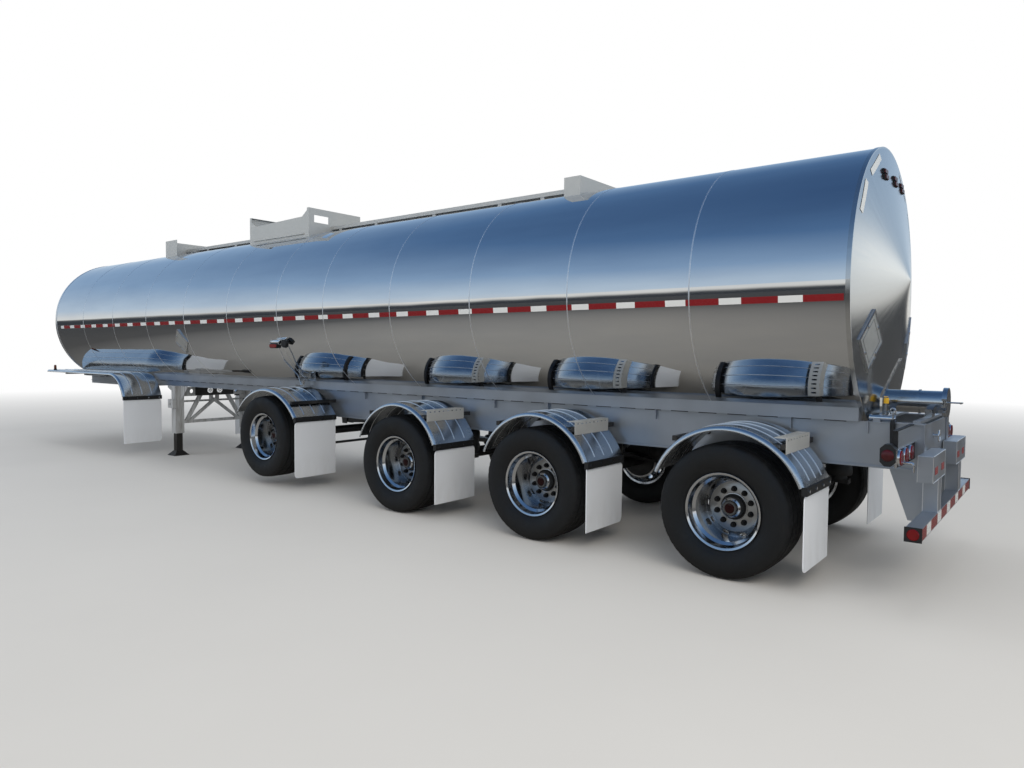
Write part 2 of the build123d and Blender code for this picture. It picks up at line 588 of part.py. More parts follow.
# Fenders over the fixed and the steered wheels: an arched sheet with a rolled outer lip
fender_centre_z = AXLE_Z + FENDER_UP
fenders = [(axle - FENDER_BACK, fender_centre_z, FENDER_R, AXLE_Z + FENDER_END) for axle in FIXED_AXLES]
fenders.append((STEER_AXLE - STEER_FENDER_BACK, STEER_FENDER_TOP - STEER_FENDER_R, STEER_FENDER_R,
                STEER_Z + STEER_FENDER_END))
with BuildPart() as wheel_fenders:
    for centre, height, radius, end_z in fenders:
        inner = radius - FENDER_THICK
        span = sqrt(radius ** 2 - (end_z - height) ** 2)
        span_in = sqrt(inner ** 2 - (end_z - height) ** 2)
        for side in (1, -1):
            across = (side * FENDER_OUT, side * (FENDER_OUT - FENDER_WIDE))
            with BuildSketch(Plane.XZ.offset(-max(across))):
                with BuildLine():
                    cx = at(centre)
                    ThreePointArc((cx + span, end_z), (cx, height + radius), (cx - span, end_z))
                    Line((cx - span, end_z), (cx - span_in, end_z))
                    ThreePointArc((cx - span_in, end_z), (cx, height + inner), (cx + span_in, end_z))
                    Line((cx + span_in, end_z), (cx + span, end_z))
                make_face()
            extrude(amount=FENDER_WIDE)
            with BuildSketch(Plane(origin=(at(centre), side * (FENDER_OUT - LIP_R), height + radius - LIP_DROP),
                                   x_dir=(0, 1, 0), z_dir=(-1, 0, 0))):
                Circle(LIP_R)
            swing = degrees(acos((end_z - height) / radius)) - 1
            revolve(axis=Axis((at(centre), 0, height), (0, -1, 0)), revolution_arc=swing)
            with BuildSketch(Plane(origin=(at(centre), side * (FENDER_OUT - LIP_R), height + radius - LIP_DROP),
                                   x_dir=(0, -1, 0), z_dir=(1, 0, 0))):
                Circle(LIP_R)
            revolve(axis=Axis((at(centre), 0, height), (0, 1, 0)), revolution_arc=swing)
keep(wheel_fenders, "wheel_fenders")

# Brackets: square tubes from the rails, over the fenders before and behind the crown
BRACKET = 40
BRACKET_RISE = 24
BRACKET_TURN = 50
with BuildPart() as fender_brackets:
    for centre, height, radius, end_z in fenders:
        for lean in (-1, 1):
            turn = radians(BRACKET_TURN)
            station = centre + lean * (radius + BRACKET_RISE) * cos(turn)
            level = height + (radius + BRACKET_RISE) * sin(turn)
            for side in (1, -1):
                block((station - BRACKET / 2, station + BRACKET / 2), (side * RAIL_OUT, side * (FENDER_OUT - 40)),
                      (level - BRACKET / 2, level + BRACKET / 2))
    for centre, height, radius, end_z in fenders:
        with BuildSketch(Plane.XZ.offset(-FENDER_OUT)):
            with Locations((at(centre), height)):
                Circle(radius + SEAT)
        extrude(amount=2 * FENDER_OUT, mode=Mode.SUBTRACT)
keep(fender_brackets, "fender_brackets")

# Steps: a slotted angle behind each rear bracket of the fixed axles' fenders
STEP_RISE = 118
STEP_DEEP = 86
STEP_THICK = 4
with BuildPart() as step_plates:
    for centre, height, radius, end_z in fenders[:-1]:
        turn = radians(BRACKET_TURN)
        face = centre - (radius + BRACKET_RISE) * cos(turn) - BRACKET / 2
        level = height + (radius + BRACKET_RISE) * sin(turn) + BRACKET / 2
        for side in (1, -1):
            across = (side * (FENDER_OUT - 2 * LIP_R - 4), side * (FENDER_OUT - FENDER_WIDE + 20))
            low = height + sqrt((radius + SEAT) ** 2 - (centre - face) ** 2)
            block((face - STEP_THICK, face), across, (low, low + STEP_RISE))
            block((face - STEP_THICK, face + STEP_DEEP), across,
                  (low + STEP_RISE - STEP_THICK, low + STEP_RISE))
            for tread in range(8):
                middle = (across[0] + across[1]) / 2 + (tread - 3.5) * 66
                block((face - STEP_THICK - 1, face + 1), (middle - 12, middle + 12),
                      (low + STEP_RISE - 26, low + STEP_RISE - 16), mode=Mode.SUBTRACT)
                block((face + 20, face + 60), (middle - 12, middle + 12),
                      (low + STEP_RISE - STEP_THICK - 1, low + STEP_RISE + 1), mode=Mode.SUBTRACT)
keep(step_plates, "step_plates")

# Flap hangers and flaps, behind each fender and front guard: station, hanger height, flap foot
flaps = [(centre - sqrt(radius ** 2 - (end_z - height) ** 2), end_z, FLAP_FLOOR)
         for centre, height, radius, end_z in fenders]
flaps.append((DECK_BACK - guard_reach, guard_foot, 205))
with BuildPart() as flap_hangers:
    for station, top, foot in flaps:
        for side in (1, -1):
            block((station - 20, station + 20), (side * FENDER_OUT, side * (FENDER_OUT - FENDER_WIDE)),
                  (top - HANGER_TALL, top))
keep(flap_hangers, "flap_hangers")

with BuildPart() as mud_flaps:
    for station, top, foot in flaps:
        for side in (1, -1):
            middle = side * (FENDER_OUT - FENDER_WIDE / 2)
            with BuildSketch(Plane.YZ.offset(at(station) - FLAP_THICK / 2)) as flap:
                with Locations((middle, (foot + top - HANGER_TALL) / 2)):
                    Rectangle(FENDER_WIDE - 8, top - HANGER_TALL - foot)
                fillet(flap.vertices().sort_by(Axis.Z)[:2], radius=45)
            extrude(amount=FLAP_THICK)
keep(mud_flaps, "mud_flaps")

# Axles: the three fixed beams with their spindles and brake shields
with BuildPart() as axle_beams:
    for axle in FIXED_AXLES:
        rod((axle, -DRUM_IN + DRUM_GAP, AXLE_Z), (axle, DRUM_IN - DRUM_GAP, AXLE_Z), BEAM_R)
        rod((axle, -SPINDLE_END, AXLE_Z), (axle, SPINDLE_END, AXLE_Z), SPINDLE_R)
        for side in (1, -1):
            rod((axle, side * (DRUM_IN - DRUM_GAP - SHIELD_THICK), AXLE_Z),
                (axle, side * (DRUM_IN - DRUM_GAP), AXLE_Z), SHIELD_R)
keep(axle_beams, "axle_beams")

with BuildPart() as steer_beam:
    rod((STEER_AXLE, -KINGPIN_Y, STEER_Z), (STEER_AXLE, KINGPIN_Y, STEER_Z), STEER_BEAM_R)
    for side in (1, -1):
        block((STEER_AXLE - 80, STEER_AXLE + 80), (side * (KINGPIN_Y - BOSS_R - 20), side * (KINGPIN_Y + 80)),
              (STEER_Z - 80, STEER_Z + 80), mode=Mode.SUBTRACT)
        rod((STEER_AXLE, side * (KINGPIN_Y - BOSS_R - 30), STEER_Z), (STEER_AXLE, side * KINGPIN_Y, STEER_Z),
            BOSS_R - 6)
        rod((STEER_AXLE, side * KINGPIN_Y, STEER_Z - BOSS_TALL / 2),
            (STEER_AXLE, side * KINGPIN_Y, STEER_Z + BOSS_TALL / 2), BOSS_R)
        rod((STEER_AXLE, side * KINGPIN_Y, STEER_Z - BOSS_TALL),
            (STEER_AXLE, side * KINGPIN_Y, STEER_Z + BOSS_TALL), KINGPIN_R + RUN_GAP, mode=Mode.SUBTRACT)
keep(steer_beam, "steer_beam")

# Steering knuckles: lugs on the kingpin, spindle, brake shield and the arm to the tie rod
TIE_Z = STEER_Z - BOSS_TALL / 2 - LUG_GAP - LUG_TALL / 2
TIE_Y = KINGPIN_Y
BALL_R = 16
for side, name in ((1, "left"), (-1, "right")):
    lug_in = BOSS_TALL / 2 + LUG_GAP
    lug_out = lug_in + LUG_TALL
    wall_in = KINGPIN_Y + BOSS_R + 6
    wall_out = DRUM_IN - DRUM_GAP
    with BuildPart() as knuckle:
        for low, high in ((STEER_Z + lug_in, STEER_Z + lug_out), (STEER_Z - lug_out, STEER_Z - lug_in)):
            rod((STEER_AXLE, side * KINGPIN_Y, low), (STEER_AXLE, side * KINGPIN_Y, high), BOSS_R)
            block((STEER_AXLE - BOSS_R, STEER_AXLE + BOSS_R), (side * KINGPIN_Y, side * wall_out), (low, high))
        block((STEER_AXLE - BOSS_R, STEER_AXLE + BOSS_R), (side * wall_in, side * wall_out),
              (STEER_Z - lug_out, STEER_Z + lug_out))
        rod((STEER_AXLE, side * KINGPIN_Y, STEER_Z - lug_out), (STEER_AXLE, side * KINGPIN_Y, STEER_Z + lug_out),
            KINGPIN_R)
        rod((STEER_AXLE, side * (wall_out - SHIELD_THICK), STEER_Z), (STEER_AXLE, side * wall_out, STEER_Z),
            SHIELD_R)
        rod((STEER_AXLE, side * wall_in, STEER_Z), (STEER_AXLE, side * SPINDLE_END, STEER_Z), SPINDLE_R)
        with BuildSketch(Plane.XY.offset(STEER_Z - lug_out)):
            Polygon((at(STEER_AXLE), side * (KINGPIN_Y - 34)), (at(STEER_AXLE), side * (KINGPIN_Y + 34)),
                    (at(STEER_AXLE - ARM_BACK - 26), side * (TIE_Y + 24)),
                    (at(STEER_AXLE - ARM_BACK - 26), side * (TIE_Y - 24)), align=None)
        extrude(amount=LUG_TALL)
        rod((STEER_AXLE - ARM_BACK, side * TIE_Y, TIE_Z - 60), (STEER_AXLE - ARM_BACK, side * TIE_Y, TIE_Z),
            BALL_R)
    keep(knuckle, f"knuckle_{name}")

with BuildPart() as tie_rod:
    rod((STEER_AXLE - ARM_BACK, -TIE_Y, TIE_Z - 42), (STEER_AXLE - ARM_BACK, TIE_Y, TIE_Z - 42), 17)
    for side in (1, -1):
        rod((STEER_AXLE - ARM_BACK, side * TIE_Y, TIE_Z - 60), (STEER_AXLE - ARM_BACK, side * TIE_Y, TIE_Z - 24), 30)
        rod((STEER_AXLE - ARM_BACK, side * TIE_Y, TIE_Z - 70), (STEER_AXLE - ARM_BACK, side * TIE_Y, TIE_Z - 10),
            BALL_R + RUN_GAP, mode=Mode.SUBTRACT)
keep(tie_rod, "tie_rod")

# Suspension: hangers in front of each axle, trailing arms, and air springs under the rails
ARM_Y = (455, 555)
ARM_PIVOT_AHEAD = 480
ARM_PIVOT_UP = 92
SPRING_BACK = 400
SPRING_R = 118
axles = [(axle, AXLE_Z, False) for axle in FIXED_AXLES] + [(STEER_AXLE, STEER_Z, True)]
flange_low = RAIL_BOTTOM - FLANGE_THICK
with BuildPart() as suspension_hangers:
    for axle, height, steered in axles:
        pivot_z = height + (ARM_PIVOT_UP if not steered else 70)
        for side in (1, -1):
            for inner_y in (ARM_Y[0] - 16, ARM_Y[1] + 4):
                side_plate([(axle + ARM_PIVOT_AHEAD - 70, flange_low), (axle + ARM_PIVOT_AHEAD + 90, flange_low),
                            (axle + ARM_PIVOT_AHEAD + 55, pivot_z - 50), (axle + ARM_PIVOT_AHEAD - 45, pivot_z - 50)],
                           (side * inner_y, side * (inner_y + 12)))
            block((axle + ARM_PIVOT_AHEAD + 60, axle + ARM_PIVOT_AHEAD + 70),
                  (side * (ARM_Y[0] - 16), side * (ARM_Y[1] + 16)), (flange_low - 90, flange_low))
            rod((axle + ARM_PIVOT_AHEAD, side * (ARM_Y[0] - 16), pivot_z),
                (axle + ARM_PIVOT_AHEAD, side * (ARM_Y[1] + 16), pivot_z), 18)
keep(suspension_hangers, "suspension_hangers")

with BuildPart() as trailing_arms:
    for axle, height, steered in axles:
        pivot_z = height + (ARM_PIVOT_UP if not steered else 70)
        arm_top = height + SEAT + (BEAM_R if not steered else STEER_BEAM_R)
        tail = [(axle - 100, arm_top + 40), (axle - 100, arm_top)]
        if not steered:
            tail = [(axle - 95, arm_top + 40), (axle - SPRING_BACK + SPRING_R + 8, arm_top + 8),
                    (axle - SPRING_BACK - 90, arm_top + 8), (axle - SPRING_BACK - 90, arm_top - 34),
                    (axle - 90, arm_top)]
        for side in (1, -1):
            side_plate([(axle + ARM_PIVOT_AHEAD + 38, pivot_z + 30), (axle + ARM_PIVOT_AHEAD - 60, pivot_z + 36),
                        (axle + 105, arm_top + 40)] + tail
                       + [(axle + 90, arm_top), (axle + ARM_PIVOT_AHEAD + 38, pivot_z - 36)],
                       (side * ARM_Y[0], side * ARM_Y[1]))
            rod((axle + ARM_PIVOT_AHEAD, side * (ARM_Y[0] - 30), pivot_z),
                (axle + ARM_PIVOT_AHEAD, side * (ARM_Y[1] + 30), pivot_z), 18 + SEAT, mode=Mode.SUBTRACT)
keep(trailing_arms, "trailing_arms")

with BuildPart() as air_springs:
    for axle, height, steered in axles:
        seat = height + SEAT + (BEAM_R + 8 if not steered else STEER_BEAM_R + 40)
        station = axle - (SPRING_BACK if not steered else 0)
        for side in (1, -1):
            across = side * (ARM_Y[0] + ARM_Y[1]) / 2
            rod((station, across, seat), (station, across, flange_low), SPRING_R if not steered else 95)
keep(air_springs, "air_springs")

with BuildPart() as brake_chambers:
    for axle in FIXED_AXLES:
        for side in (1, -1):
            across = side * 660
            rod((axle + 150, across, AXLE_Z + 60), (axle + 330, across, AXLE_Z + 60), 72)
            rod((axle + 225, across, AXLE_Z + 60), (axle + 240, across, AXLE_Z + 60), 82)
            block((axle + BEAM_R + SEAT, axle + 150), (across - 30, across + 30), (AXLE_Z - 30, AXLE_Z + 90))
keep(brake_chambers, "brake_chambers")

# Air reservoirs, hung across the frame between two crossmembers
with BuildPart() as air_tanks:
    for station in (5000, 5290):
        rod((station, -RAIL_OUT + RAIL_WEB, RAIL_BOTTOM + 120), (station, RAIL_OUT - RAIL_WEB, RAIL_BOTTOM + 120), 105)
keep(air_tanks, "air_tanks")

# Wheels: each tyre, and each wheel with its hub and drum
wheel_sets = [(f"{number}_{name}", axle, height, side)
              for number, axle, height in ((1, STEER_AXLE, STEER_Z), (2, FIXED_AXLES[2], AXLE_Z),
                                           (3, FIXED_AXLES[1], AXLE_Z), (4, FIXED_AXLES[0], AXLE_Z))
              for side, name in ((1, "left"), (-1, "right"))]
tyre_in = TYRE_OUT - TYRE_WIDE
tyre_mid = TYRE_OUT - TYRE_WIDE / 2
bead_r = RIM_LIP_R - 12
for name, axle, height, side in wheel_sets:
    spin = Axis((at(axle), 0, height), (0, 1, 0))
    with BuildPart() as tyre:
        with BuildSketch(wheel_plane(axle, side, height)):
            with BuildLine():
                bead_out = RIM_LIP_OUT - 13
                bead_in = RIM_LIP_OUT - RIM_WIDE + 13
                Line((bead_in, bead_r + SEAT), (bead_out, bead_r + SEAT))
                Line((bead_out, bead_r + SEAT), (bead_out, RIM_LIP_R + 4))
                ThreePointArc((bead_out, RIM_LIP_R + 4), (TYRE_OUT, 400), (TYRE_OUT - 16, 498))
                ThreePointArc((TYRE_OUT - 16, 498), (TYRE_OUT - 25, 514), (TYRE_OUT - 44, TYRE_R))
                Line((TYRE_OUT - 44, TYRE_R), (tyre_in + 44, TYRE_R))
                ThreePointArc((tyre_in + 44, TYRE_R), (tyre_in + 25, 514), (tyre_in + 16, 498))
                ThreePointArc((tyre_in + 16, 498), (tyre_in, 400), (bead_in, RIM_LIP_R + 4))
                Line((bead_in, RIM_LIP_R + 4), (bead_in, bead_r + SEAT))
            make_face()
        revolve(axis=spin)
    keep(tyre, f"tyre_{name}")
    with BuildPart() as wheel:
        with BuildSketch(wheel_plane(axle, side, height)):
            lip = RIM_LIP_OUT
            inner_lip = RIM_LIP_OUT - RIM_WIDE
            Polygon((lip, RIM_LIP_R), (lip - 10, RIM_LIP_R), (lip - 12, bead_r), (lip - 50, bead_r - 4),
                    (lip - 72, 258), (inner_lip + 70, 258), (inner_lip + 48, bead_r - 4),
                    (inner_lip + 12, bead_r), (inner_lip + 10, RIM_LIP_R), (inner_lip, RIM_LIP_R),
                    (inner_lip + 4, 276), (inner_lip + 50, 262), (inner_lip + 76, 246), (lip - 80, 246),
                    (lip - 58, 268), (lip - 8, 282), align=None)
            Polygon((DISC_OUT, 80), (DISC_OUT, 198), (DISC_OUT - 34, 252), (DISC_OUT - 66, 252),
                    (DISC_OUT - DISC_THICK, 190), (DISC_OUT - DISC_THICK, 80), align=None)
            Polygon((DISC_OUT - 40, SPINDLE_R + RUN_GAP), (DISC_OUT - 40, 108), (DISC_OUT + 8, 108),
                    (DISC_OUT + 12, 84), (DISC_OUT + 62, 80), (DISC_OUT + 74, 62), (DISC_OUT + 92, 56),
                    (DISC_OUT + 96, 0), (SPINDLE_END + 6, 0), (SPINDLE_END + 6, SPINDLE_R + RUN_GAP), align=None)
            Polygon((DRUM_IN, SPINDLE_R + RUN_GAP), (DRUM_IN, DRUM_R), (DISC_OUT - DISC_THICK, DRUM_R - 8),
                    (DISC_OUT - DISC_THICK, SPINDLE_R + RUN_GAP), align=None)
        revolve(axis=spin)
        with BuildSketch(Plane(origin=(at(axle), side * (DISC_OUT + 60), height), x_dir=(1, 0, 0),
                               z_dir=(0, side, 0))):
            with PolarLocations(226, 10):
                SlotOverall(52, 30, rotation=90)
        extrude(amount=-160, mode=Mode.SUBTRACT)
    keep(wheel, f"wheel_{name}")

# Landing legs: outer boxes with gussets and cross shaft, inner legs with feet, and the brace
shallow_low = SHALLOW_BOTTOM - FLANGE_THICK
with BuildPart() as landing_legs:
    half = LEG_BOX / 2
    gusset_y = (RAIL_OUT + GUSSET_OFF, RAIL_OUT + GUSSET_OFF + GUSSET_THICK)
    for side in (1, -1):
        block((LEG_X - half, LEG_X + half), (side * (LEG_Y - half), side * (LEG_Y + half)), (LEG_SPLIT, shallow_low))
        for face, way, outline in ((LEG_X + half, 1, GUSSET_FORE), (LEG_X - half, -1, GUSSET_AFT)):
            side_plate([(face + way * ahead, shallow_low - drop) for ahead, drop in outline],
                       (side * gusset_y[0], side * gusset_y[1]))
        block((LEG_X - half - GEAR_LIP, LEG_X + half + GEAR_LIP),
              (side * (LEG_Y + half), side * (LEG_Y + half + GEAR_DEEP)),
              (CRANK_Z - GEAR_TALL / 2, CRANK_Z + GEAR_TALL / 2))
    rod((LEG_X, -LEG_Y, CROSS_SHAFT_Z), (LEG_X, LEG_Y, CROSS_SHAFT_Z), CROSS_SHAFT_R)
    rod((LEG_X, LEG_Y, CRANK_Z), (LEG_X, LEG_Y + half + CRANK_OUT, CRANK_Z), CRANK_R)
keep(landing_legs, "landing_legs")

with BuildPart() as landing_feet:
    half = LEG_INNER / 2
    for side in (1, -1):
        block((LEG_X - half, LEG_X + half), (side * (LEG_Y - half), side * (LEG_Y + half)),
              (LEG_BOTTOM, LEG_SPLIT))
        with BuildSketch(Plane.XY):
            with Locations((at(LEG_X), side * LEG_Y)):
                Rectangle(LEG_FOOT, LEG_FOOT)
        with BuildSketch(Plane.XY.offset(FOOT_TALL)):
            with Locations((at(LEG_X), side * LEG_Y)):
                Rectangle(LEG_INNER + LEG_BOTTOM / 2, LEG_INNER + LEG_BOTTOM / 2)
        loft()
keep(landing_feet, "landing_feet")

BRACE_LOW = 545
BRACE_TOP = TANK_LOW - 12
BRACE_PANEL = 150
BRACE_BAR = 48
BRACE_DIAGONAL_Y = 250
BRACE_PEAK = 895
DISC_Y = 85
DISC_R = 48
DISC_DEEP = 16
HOLE_Y = 400
HOLE_R = 38
with BuildPart() as landing_brace:
    leg_in = LEG_Y - LEG_BOX / 2
    plate = (LEG_X - LEG_BOX / 2 + 5, LEG_X - CROSS_SHAFT_R - 6)
    panel_foot = BRACE_TOP - BRACE_PANEL + 5
    block(plate, (-leg_in, leg_in), (BRACE_LOW - BRACE_BAR / 2, BRACE_LOW + BRACE_BAR / 2))
    block(plate, (-leg_in, leg_in), (BRACE_TOP - BRACE_PANEL, BRACE_TOP))
    for side in (1, -1):
        cross_plate([(side * leg_in, BRACE_LOW - 20), (side * (leg_in - 62), BRACE_LOW - 20),
                     (side * (BRACE_DIAGONAL_Y - 35), panel_foot),
                     (side * (BRACE_DIAGONAL_Y + 35), panel_foot)], plate)
        cross_plate([(side * (leg_in - 60), BRACE_LOW), (side * (leg_in - 125), BRACE_LOW),
                     (0, BRACE_PEAK - 30), (0, BRACE_PEAK + 30)], plate)
        block(plate, (side * 30, side * 80), (BRACE_PEAK - 25, panel_foot))
        with Locations(Plane(origin=(at(plate[0]), side * DISC_Y, BRACE_TOP - 62), z_dir=(-1, 0, 0))):
            Cylinder(DISC_R, DISC_DEEP)
        with Locations(Plane(origin=(at(plate[0]), side * HOLE_Y, BRACE_TOP - 70), z_dir=(-1, 0, 0))):
            Cylinder(HOLE_R, LEG_BOX, mode=Mode.SUBTRACT)
keep(landing_brace, "landing_brace")

# Side lamps, half way along: a bent stalk from the sill, with a lamp in a rubber block
LAMP_X = 6000
LAMP_Y = 1105
LAMP_Z = 1800
LAMP_BODY_R = 44
LAMP_BODY_HALF = 62
LAMP_BODY_UP = 24
STALK_R = 9
STALK_JOINT_R = 9.4
SILL_Z = 1264
SILL_THICK = 15
SILL_WIDE = 160
stalk = [(PAD_OUT + 110, SILL_Z + SILL_THICK - 1), (PAD_OUT + 160, 1400), (PAD_OUT + 380, 1620),
         (LAMP_Y, LAMP_Z - 20)]
with BuildPart() as lamp_stalks:
    for side in (1, -1):
        block((LAMP_X - 60, LAMP_X + 60), (side * PAD_OUT, side * (PAD_OUT + SILL_WIDE)),
              (SILL_Z, SILL_Z + SILL_THICK))
        for (y1, z1), (y2, z2) in zip(stalk, stalk[1:]):
            rod((LAMP_X, side * y1, z1), (LAMP_X, side * y2, z2), STALK_R)
        for y1, z1 in stalk[1:-1]:
            with Locations((at(LAMP_X), side * y1, z1)):
                Sphere(STALK_JOINT_R)
        block((LAMP_X - 95, LAMP_X - 52), (side * (PAD_OUT + 40), side * (PAD_OUT + 130)),
              (SILL_Z + SILL_THICK, SILL_Z + SILL_THICK + 61))
        block((LAMP_X - 96, LAMP_X - 40), (side * PAD_OUT, side * (PAD_OUT + SILL_WIDE - 10)),
              (SILL_Z, SILL_Z + SILL_THICK + 1))
keep(lamp_stalks, "lamp_stalks")

with BuildPart() as side_lamps:
    for side in (1, -1):
        rod((LAMP_X - LAMP_BODY_HALF, side * LAMP_Y, LAMP_Z + LAMP_BODY_UP),
            (LAMP_X + LAMP_BODY_HALF, side * LAMP_Y, LAMP_Z + LAMP_BODY_UP), LAMP_BODY_R)
    for side in (1, -1):
        y1, z1 = stalk[-2]
        y2, z2 = stalk[-1]
        rod((LAMP_X, side * (y1 - (y2 - y1) * 0.1), z1 - (z2 - z1) * 0.1),
            (LAMP_X, side * (y2 + (y2 - y1) * 0.4), z2 + (z2 - z1) * 0.4), STALK_R + SEAT, mode=Mode.SUBTRACT)
keep(side_lamps, "side_lamps")

# Tail lamps: a carrier out from each rail with three lamps, and an eight-sided side lamp at its end
LAMP_BAR = -1184
LAMP_BAR_Z = 1040
SIDE_LAMP_LONG = 94
SIDE_LAMP_TALL = 148
SIDE_LAMP_Z = LAMP_BAR_Z + 18
SIDE_LAMP_IN = 1165
SIDE_LAMP_OUT = 1246
SIDE_LAMP_CORNER = 28
LENS_R = 50
LENS_DEEP = 22
LENS_Y = (790, 980, 1170)
SIDE_LENS_R = 30
CARRIER_THICK = 8
CARRIER_OUT = 1225
CARRIER_LOW = LAMP_BAR_Z - 60
CARRIER_HIGH = LAMP_BAR_Z + 55
STRAP_WIDE = 28
STRAP_THICK = 5
with BuildPart() as lamp_carriers:
    for side in (1, -1):
        back, front = LAMP_BAR + CARRIER_THICK, LAMP_BAR + CARRIER_THICK + SIDE_LAMP_LONG
        strap = (back, back + STRAP_WIDE)
        block((LAMP_BAR, back), (side * RAIL_OUT, side * CARRIER_OUT), (CARRIER_LOW, CARRIER_HIGH))
        block((LAMP_BAR, LAMP_BAR + 40), (side * RAIL_OUT, side * 1100),
              (CARRIER_LOW - CARRIER_THICK, CARRIER_LOW))
        block(strap, (side * (RAIL_OUT + 12), side * 1200), (PAD_BOTTOM - CARRIER_THICK, PAD_BOTTOM))
        block(strap, (side * (SIDE_LAMP_IN - STRAP_THICK), side * SIDE_LAMP_IN), (LAMP_BAR_Z, PAD_BOTTOM))
        chamfer = SIDE_LAMP_CORNER
        low, high = SIDE_LAMP_Z - SIDE_LAMP_TALL / 2, SIDE_LAMP_Z + SIDE_LAMP_TALL / 2
        side_plate([(back + chamfer, low), (front - chamfer, low), (front, low + chamfer), (front, high - chamfer),
                    (front - chamfer, high), (back + chamfer, high), (back, high - chamfer), (back, low + chamfer)],
                   (side * SIDE_LAMP_IN, side * SIDE_LAMP_OUT))
keep(lamp_carriers, "lamp_carriers")

with BuildPart() as tail_lamps:
    for side in (1, -1):
        for across in LENS_Y:
            rod((LAMP_BAR, side * across, LAMP_BAR_Z), (LAMP_BAR - LENS_DEEP, side * across, LAMP_BAR_Z), LENS_R)
        middle = LAMP_BAR + CARRIER_THICK + SIDE_LAMP_LONG / 2
        rod((middle, side * SIDE_LAMP_OUT, SIDE_LAMP_Z), (middle, side * (SIDE_LAMP_OUT + 8), SIDE_LAMP_Z),
            SIDE_LENS_R)
keep(tail_lamps, "tail_lamps")

# Rear outlet: the tube under the cone, its end cap on a side hinge, and the valve gear
CAP_THICK = 14
CAP_HINGE_Y = TUBE_FLANGE_R + 18
CAP_FACE = TUBE_END + CAP_THICK
with BuildPart() as outlet_tube:
    rod((REAR_RIM - RIM_BAND - SEAT, 0, TUBE_Z), (CAP_FACE + 20, 0, TUBE_Z), TUBE_R)
    rod((-1112, 0, TUBE_Z), (-1124, 0, TUBE_Z), TUBE_R + 8)
    rod((CAP_FACE + 20, 0, TUBE_Z), (CAP_FACE + SEAT, 0, TUBE_Z), TUBE_FLANGE_R)
    block((top_bars[0] - TOP_BAR_WIDE / 2, top_bars[0] + TOP_BAR_WIDE / 2), (-70, 70),
          (PAD_BOTTOM + TOP_BAR_TALL, TUBE_Z - 40))
    for low in (TUBE_Z - 34, TUBE_Z + 20):
        block((CAP_FACE - 13, CAP_FACE + 16), (TUBE_FLANGE_R - 14, CAP_HINGE_Y + 11), (low, low + 14))
    rod((CAP_FACE - 2, CAP_HINGE_Y, TUBE_Z - 34), (CAP_FACE - 2, CAP_HINGE_Y, TUBE_Z + 34), 6)
    block((CAP_FACE - 20, CAP_FACE + SEAT), (0, TUBE_FLANGE_R + 4), (TUBE_Z - 40, TUBE_Z + 40), mode=Mode.SUBTRACT)
    with BuildSketch(Plane.YZ.offset(at(REAR_RIM - RIM_BAND) - SEAT)):
        with Locations((0, TANK_Z)):
            Circle(TANK_R - RIM_PROUD)
    with BuildSketch(Plane.YZ.offset(at(REAR_RIM - CONE_DEPTH) - SEAT)):
        with Locations((0, TANK_Z + CONE_TIP_UP)):
            Circle(CONE_TIP_R)
    loft(mode=Mode.SUBTRACT)
keep(outlet_tube, "outlet_tube")

with BuildPart() as outlet_cap:
    rod((CAP_FACE, 0, TUBE_Z), (TUBE_END, 0, TUBE_Z), TUBE_FLANGE_R)
    block((CAP_FACE - 9, CAP_FACE - 1), (TUBE_FLANGE_R - 20, CAP_HINGE_Y - 8), (TUBE_Z - 16, TUBE_Z + 16))
    rod((CAP_FACE - 2, CAP_HINGE_Y, TUBE_Z - 18), (CAP_FACE - 2, CAP_HINGE_Y, TUBE_Z + 18), 11)
    rod((CAP_FACE - 2, CAP_HINGE_Y, TUBE_Z - 30), (CAP_FACE - 2, CAP_HINGE_Y, TUBE_Z + 30), 6 + RUN_GAP,
        mode=Mode.SUBTRACT)
    rod((TUBE_END + 2, 0, TUBE_Z), (HANDLE_END + 8, 0, TUBE_Z), 6)
    rod((HANDLE_END + 8, -40, TUBE_Z), (HANDLE_END + 8, 40, TUBE_Z), 8)
keep(outlet_cap, "outlet_cap")

# Valve lever and vent beside the outlet tube
LEVER_Y = 400
LEVER_BACK = 120
LEVER_ELBOW = TUBE_Z + 60
LEVER_TIP = TUBE_Z + 345
LEVER_BAR = 8
LEVER_GAP = 40
LEVER_FOOT = 24
VENT_Y = 280
VENT_R = 20
VENT_CAP_R = 26
VENT_CAP_Z = TUBE_Z - 10
VENT_TOP = TUBE_Z + 40
with BuildPart() as outlet_fittings:
    foot = PAD_BOTTOM + TOP_BAR_TALL
    base = top_bars[1]
    block((base - 22, base + 22), (LEVER_Y - LEVER_GAP, LEVER_Y + LEVER_GAP), (foot, foot + LEVER_FOOT))
    strap = [(base - LEVER_BAR, foot + LEVER_FOOT / 2), (base - LEVER_BAR, LEVER_ELBOW),
             (base - LEVER_BACK - LEVER_BAR, LEVER_TIP), (base - LEVER_BACK + LEVER_BAR, LEVER_TIP),
             (base + LEVER_BAR, LEVER_ELBOW + 4), (base + LEVER_BAR, foot + LEVER_FOOT / 2)]
    for across in (LEVER_Y - LEVER_GAP / 2 - LEVER_BAR, LEVER_Y + LEVER_GAP / 2):
        side_plate(strap, (across, across + LEVER_BAR))
    grip = base - LEVER_BACK + LEVER_BAR
    rod((grip, LEVER_Y - 34, LEVER_TIP - 18), (grip, LEVER_Y + 34, LEVER_TIP - 18), LEVER_BAR - 2)
    rod((base, VENT_Y, foot), (base, VENT_Y, VENT_CAP_Z), VENT_R)
    rod((base, VENT_Y, VENT_CAP_Z), (base, VENT_Y, VENT_TOP), VENT_CAP_R)
keep(outlet_fittings, "outlet_fittings")

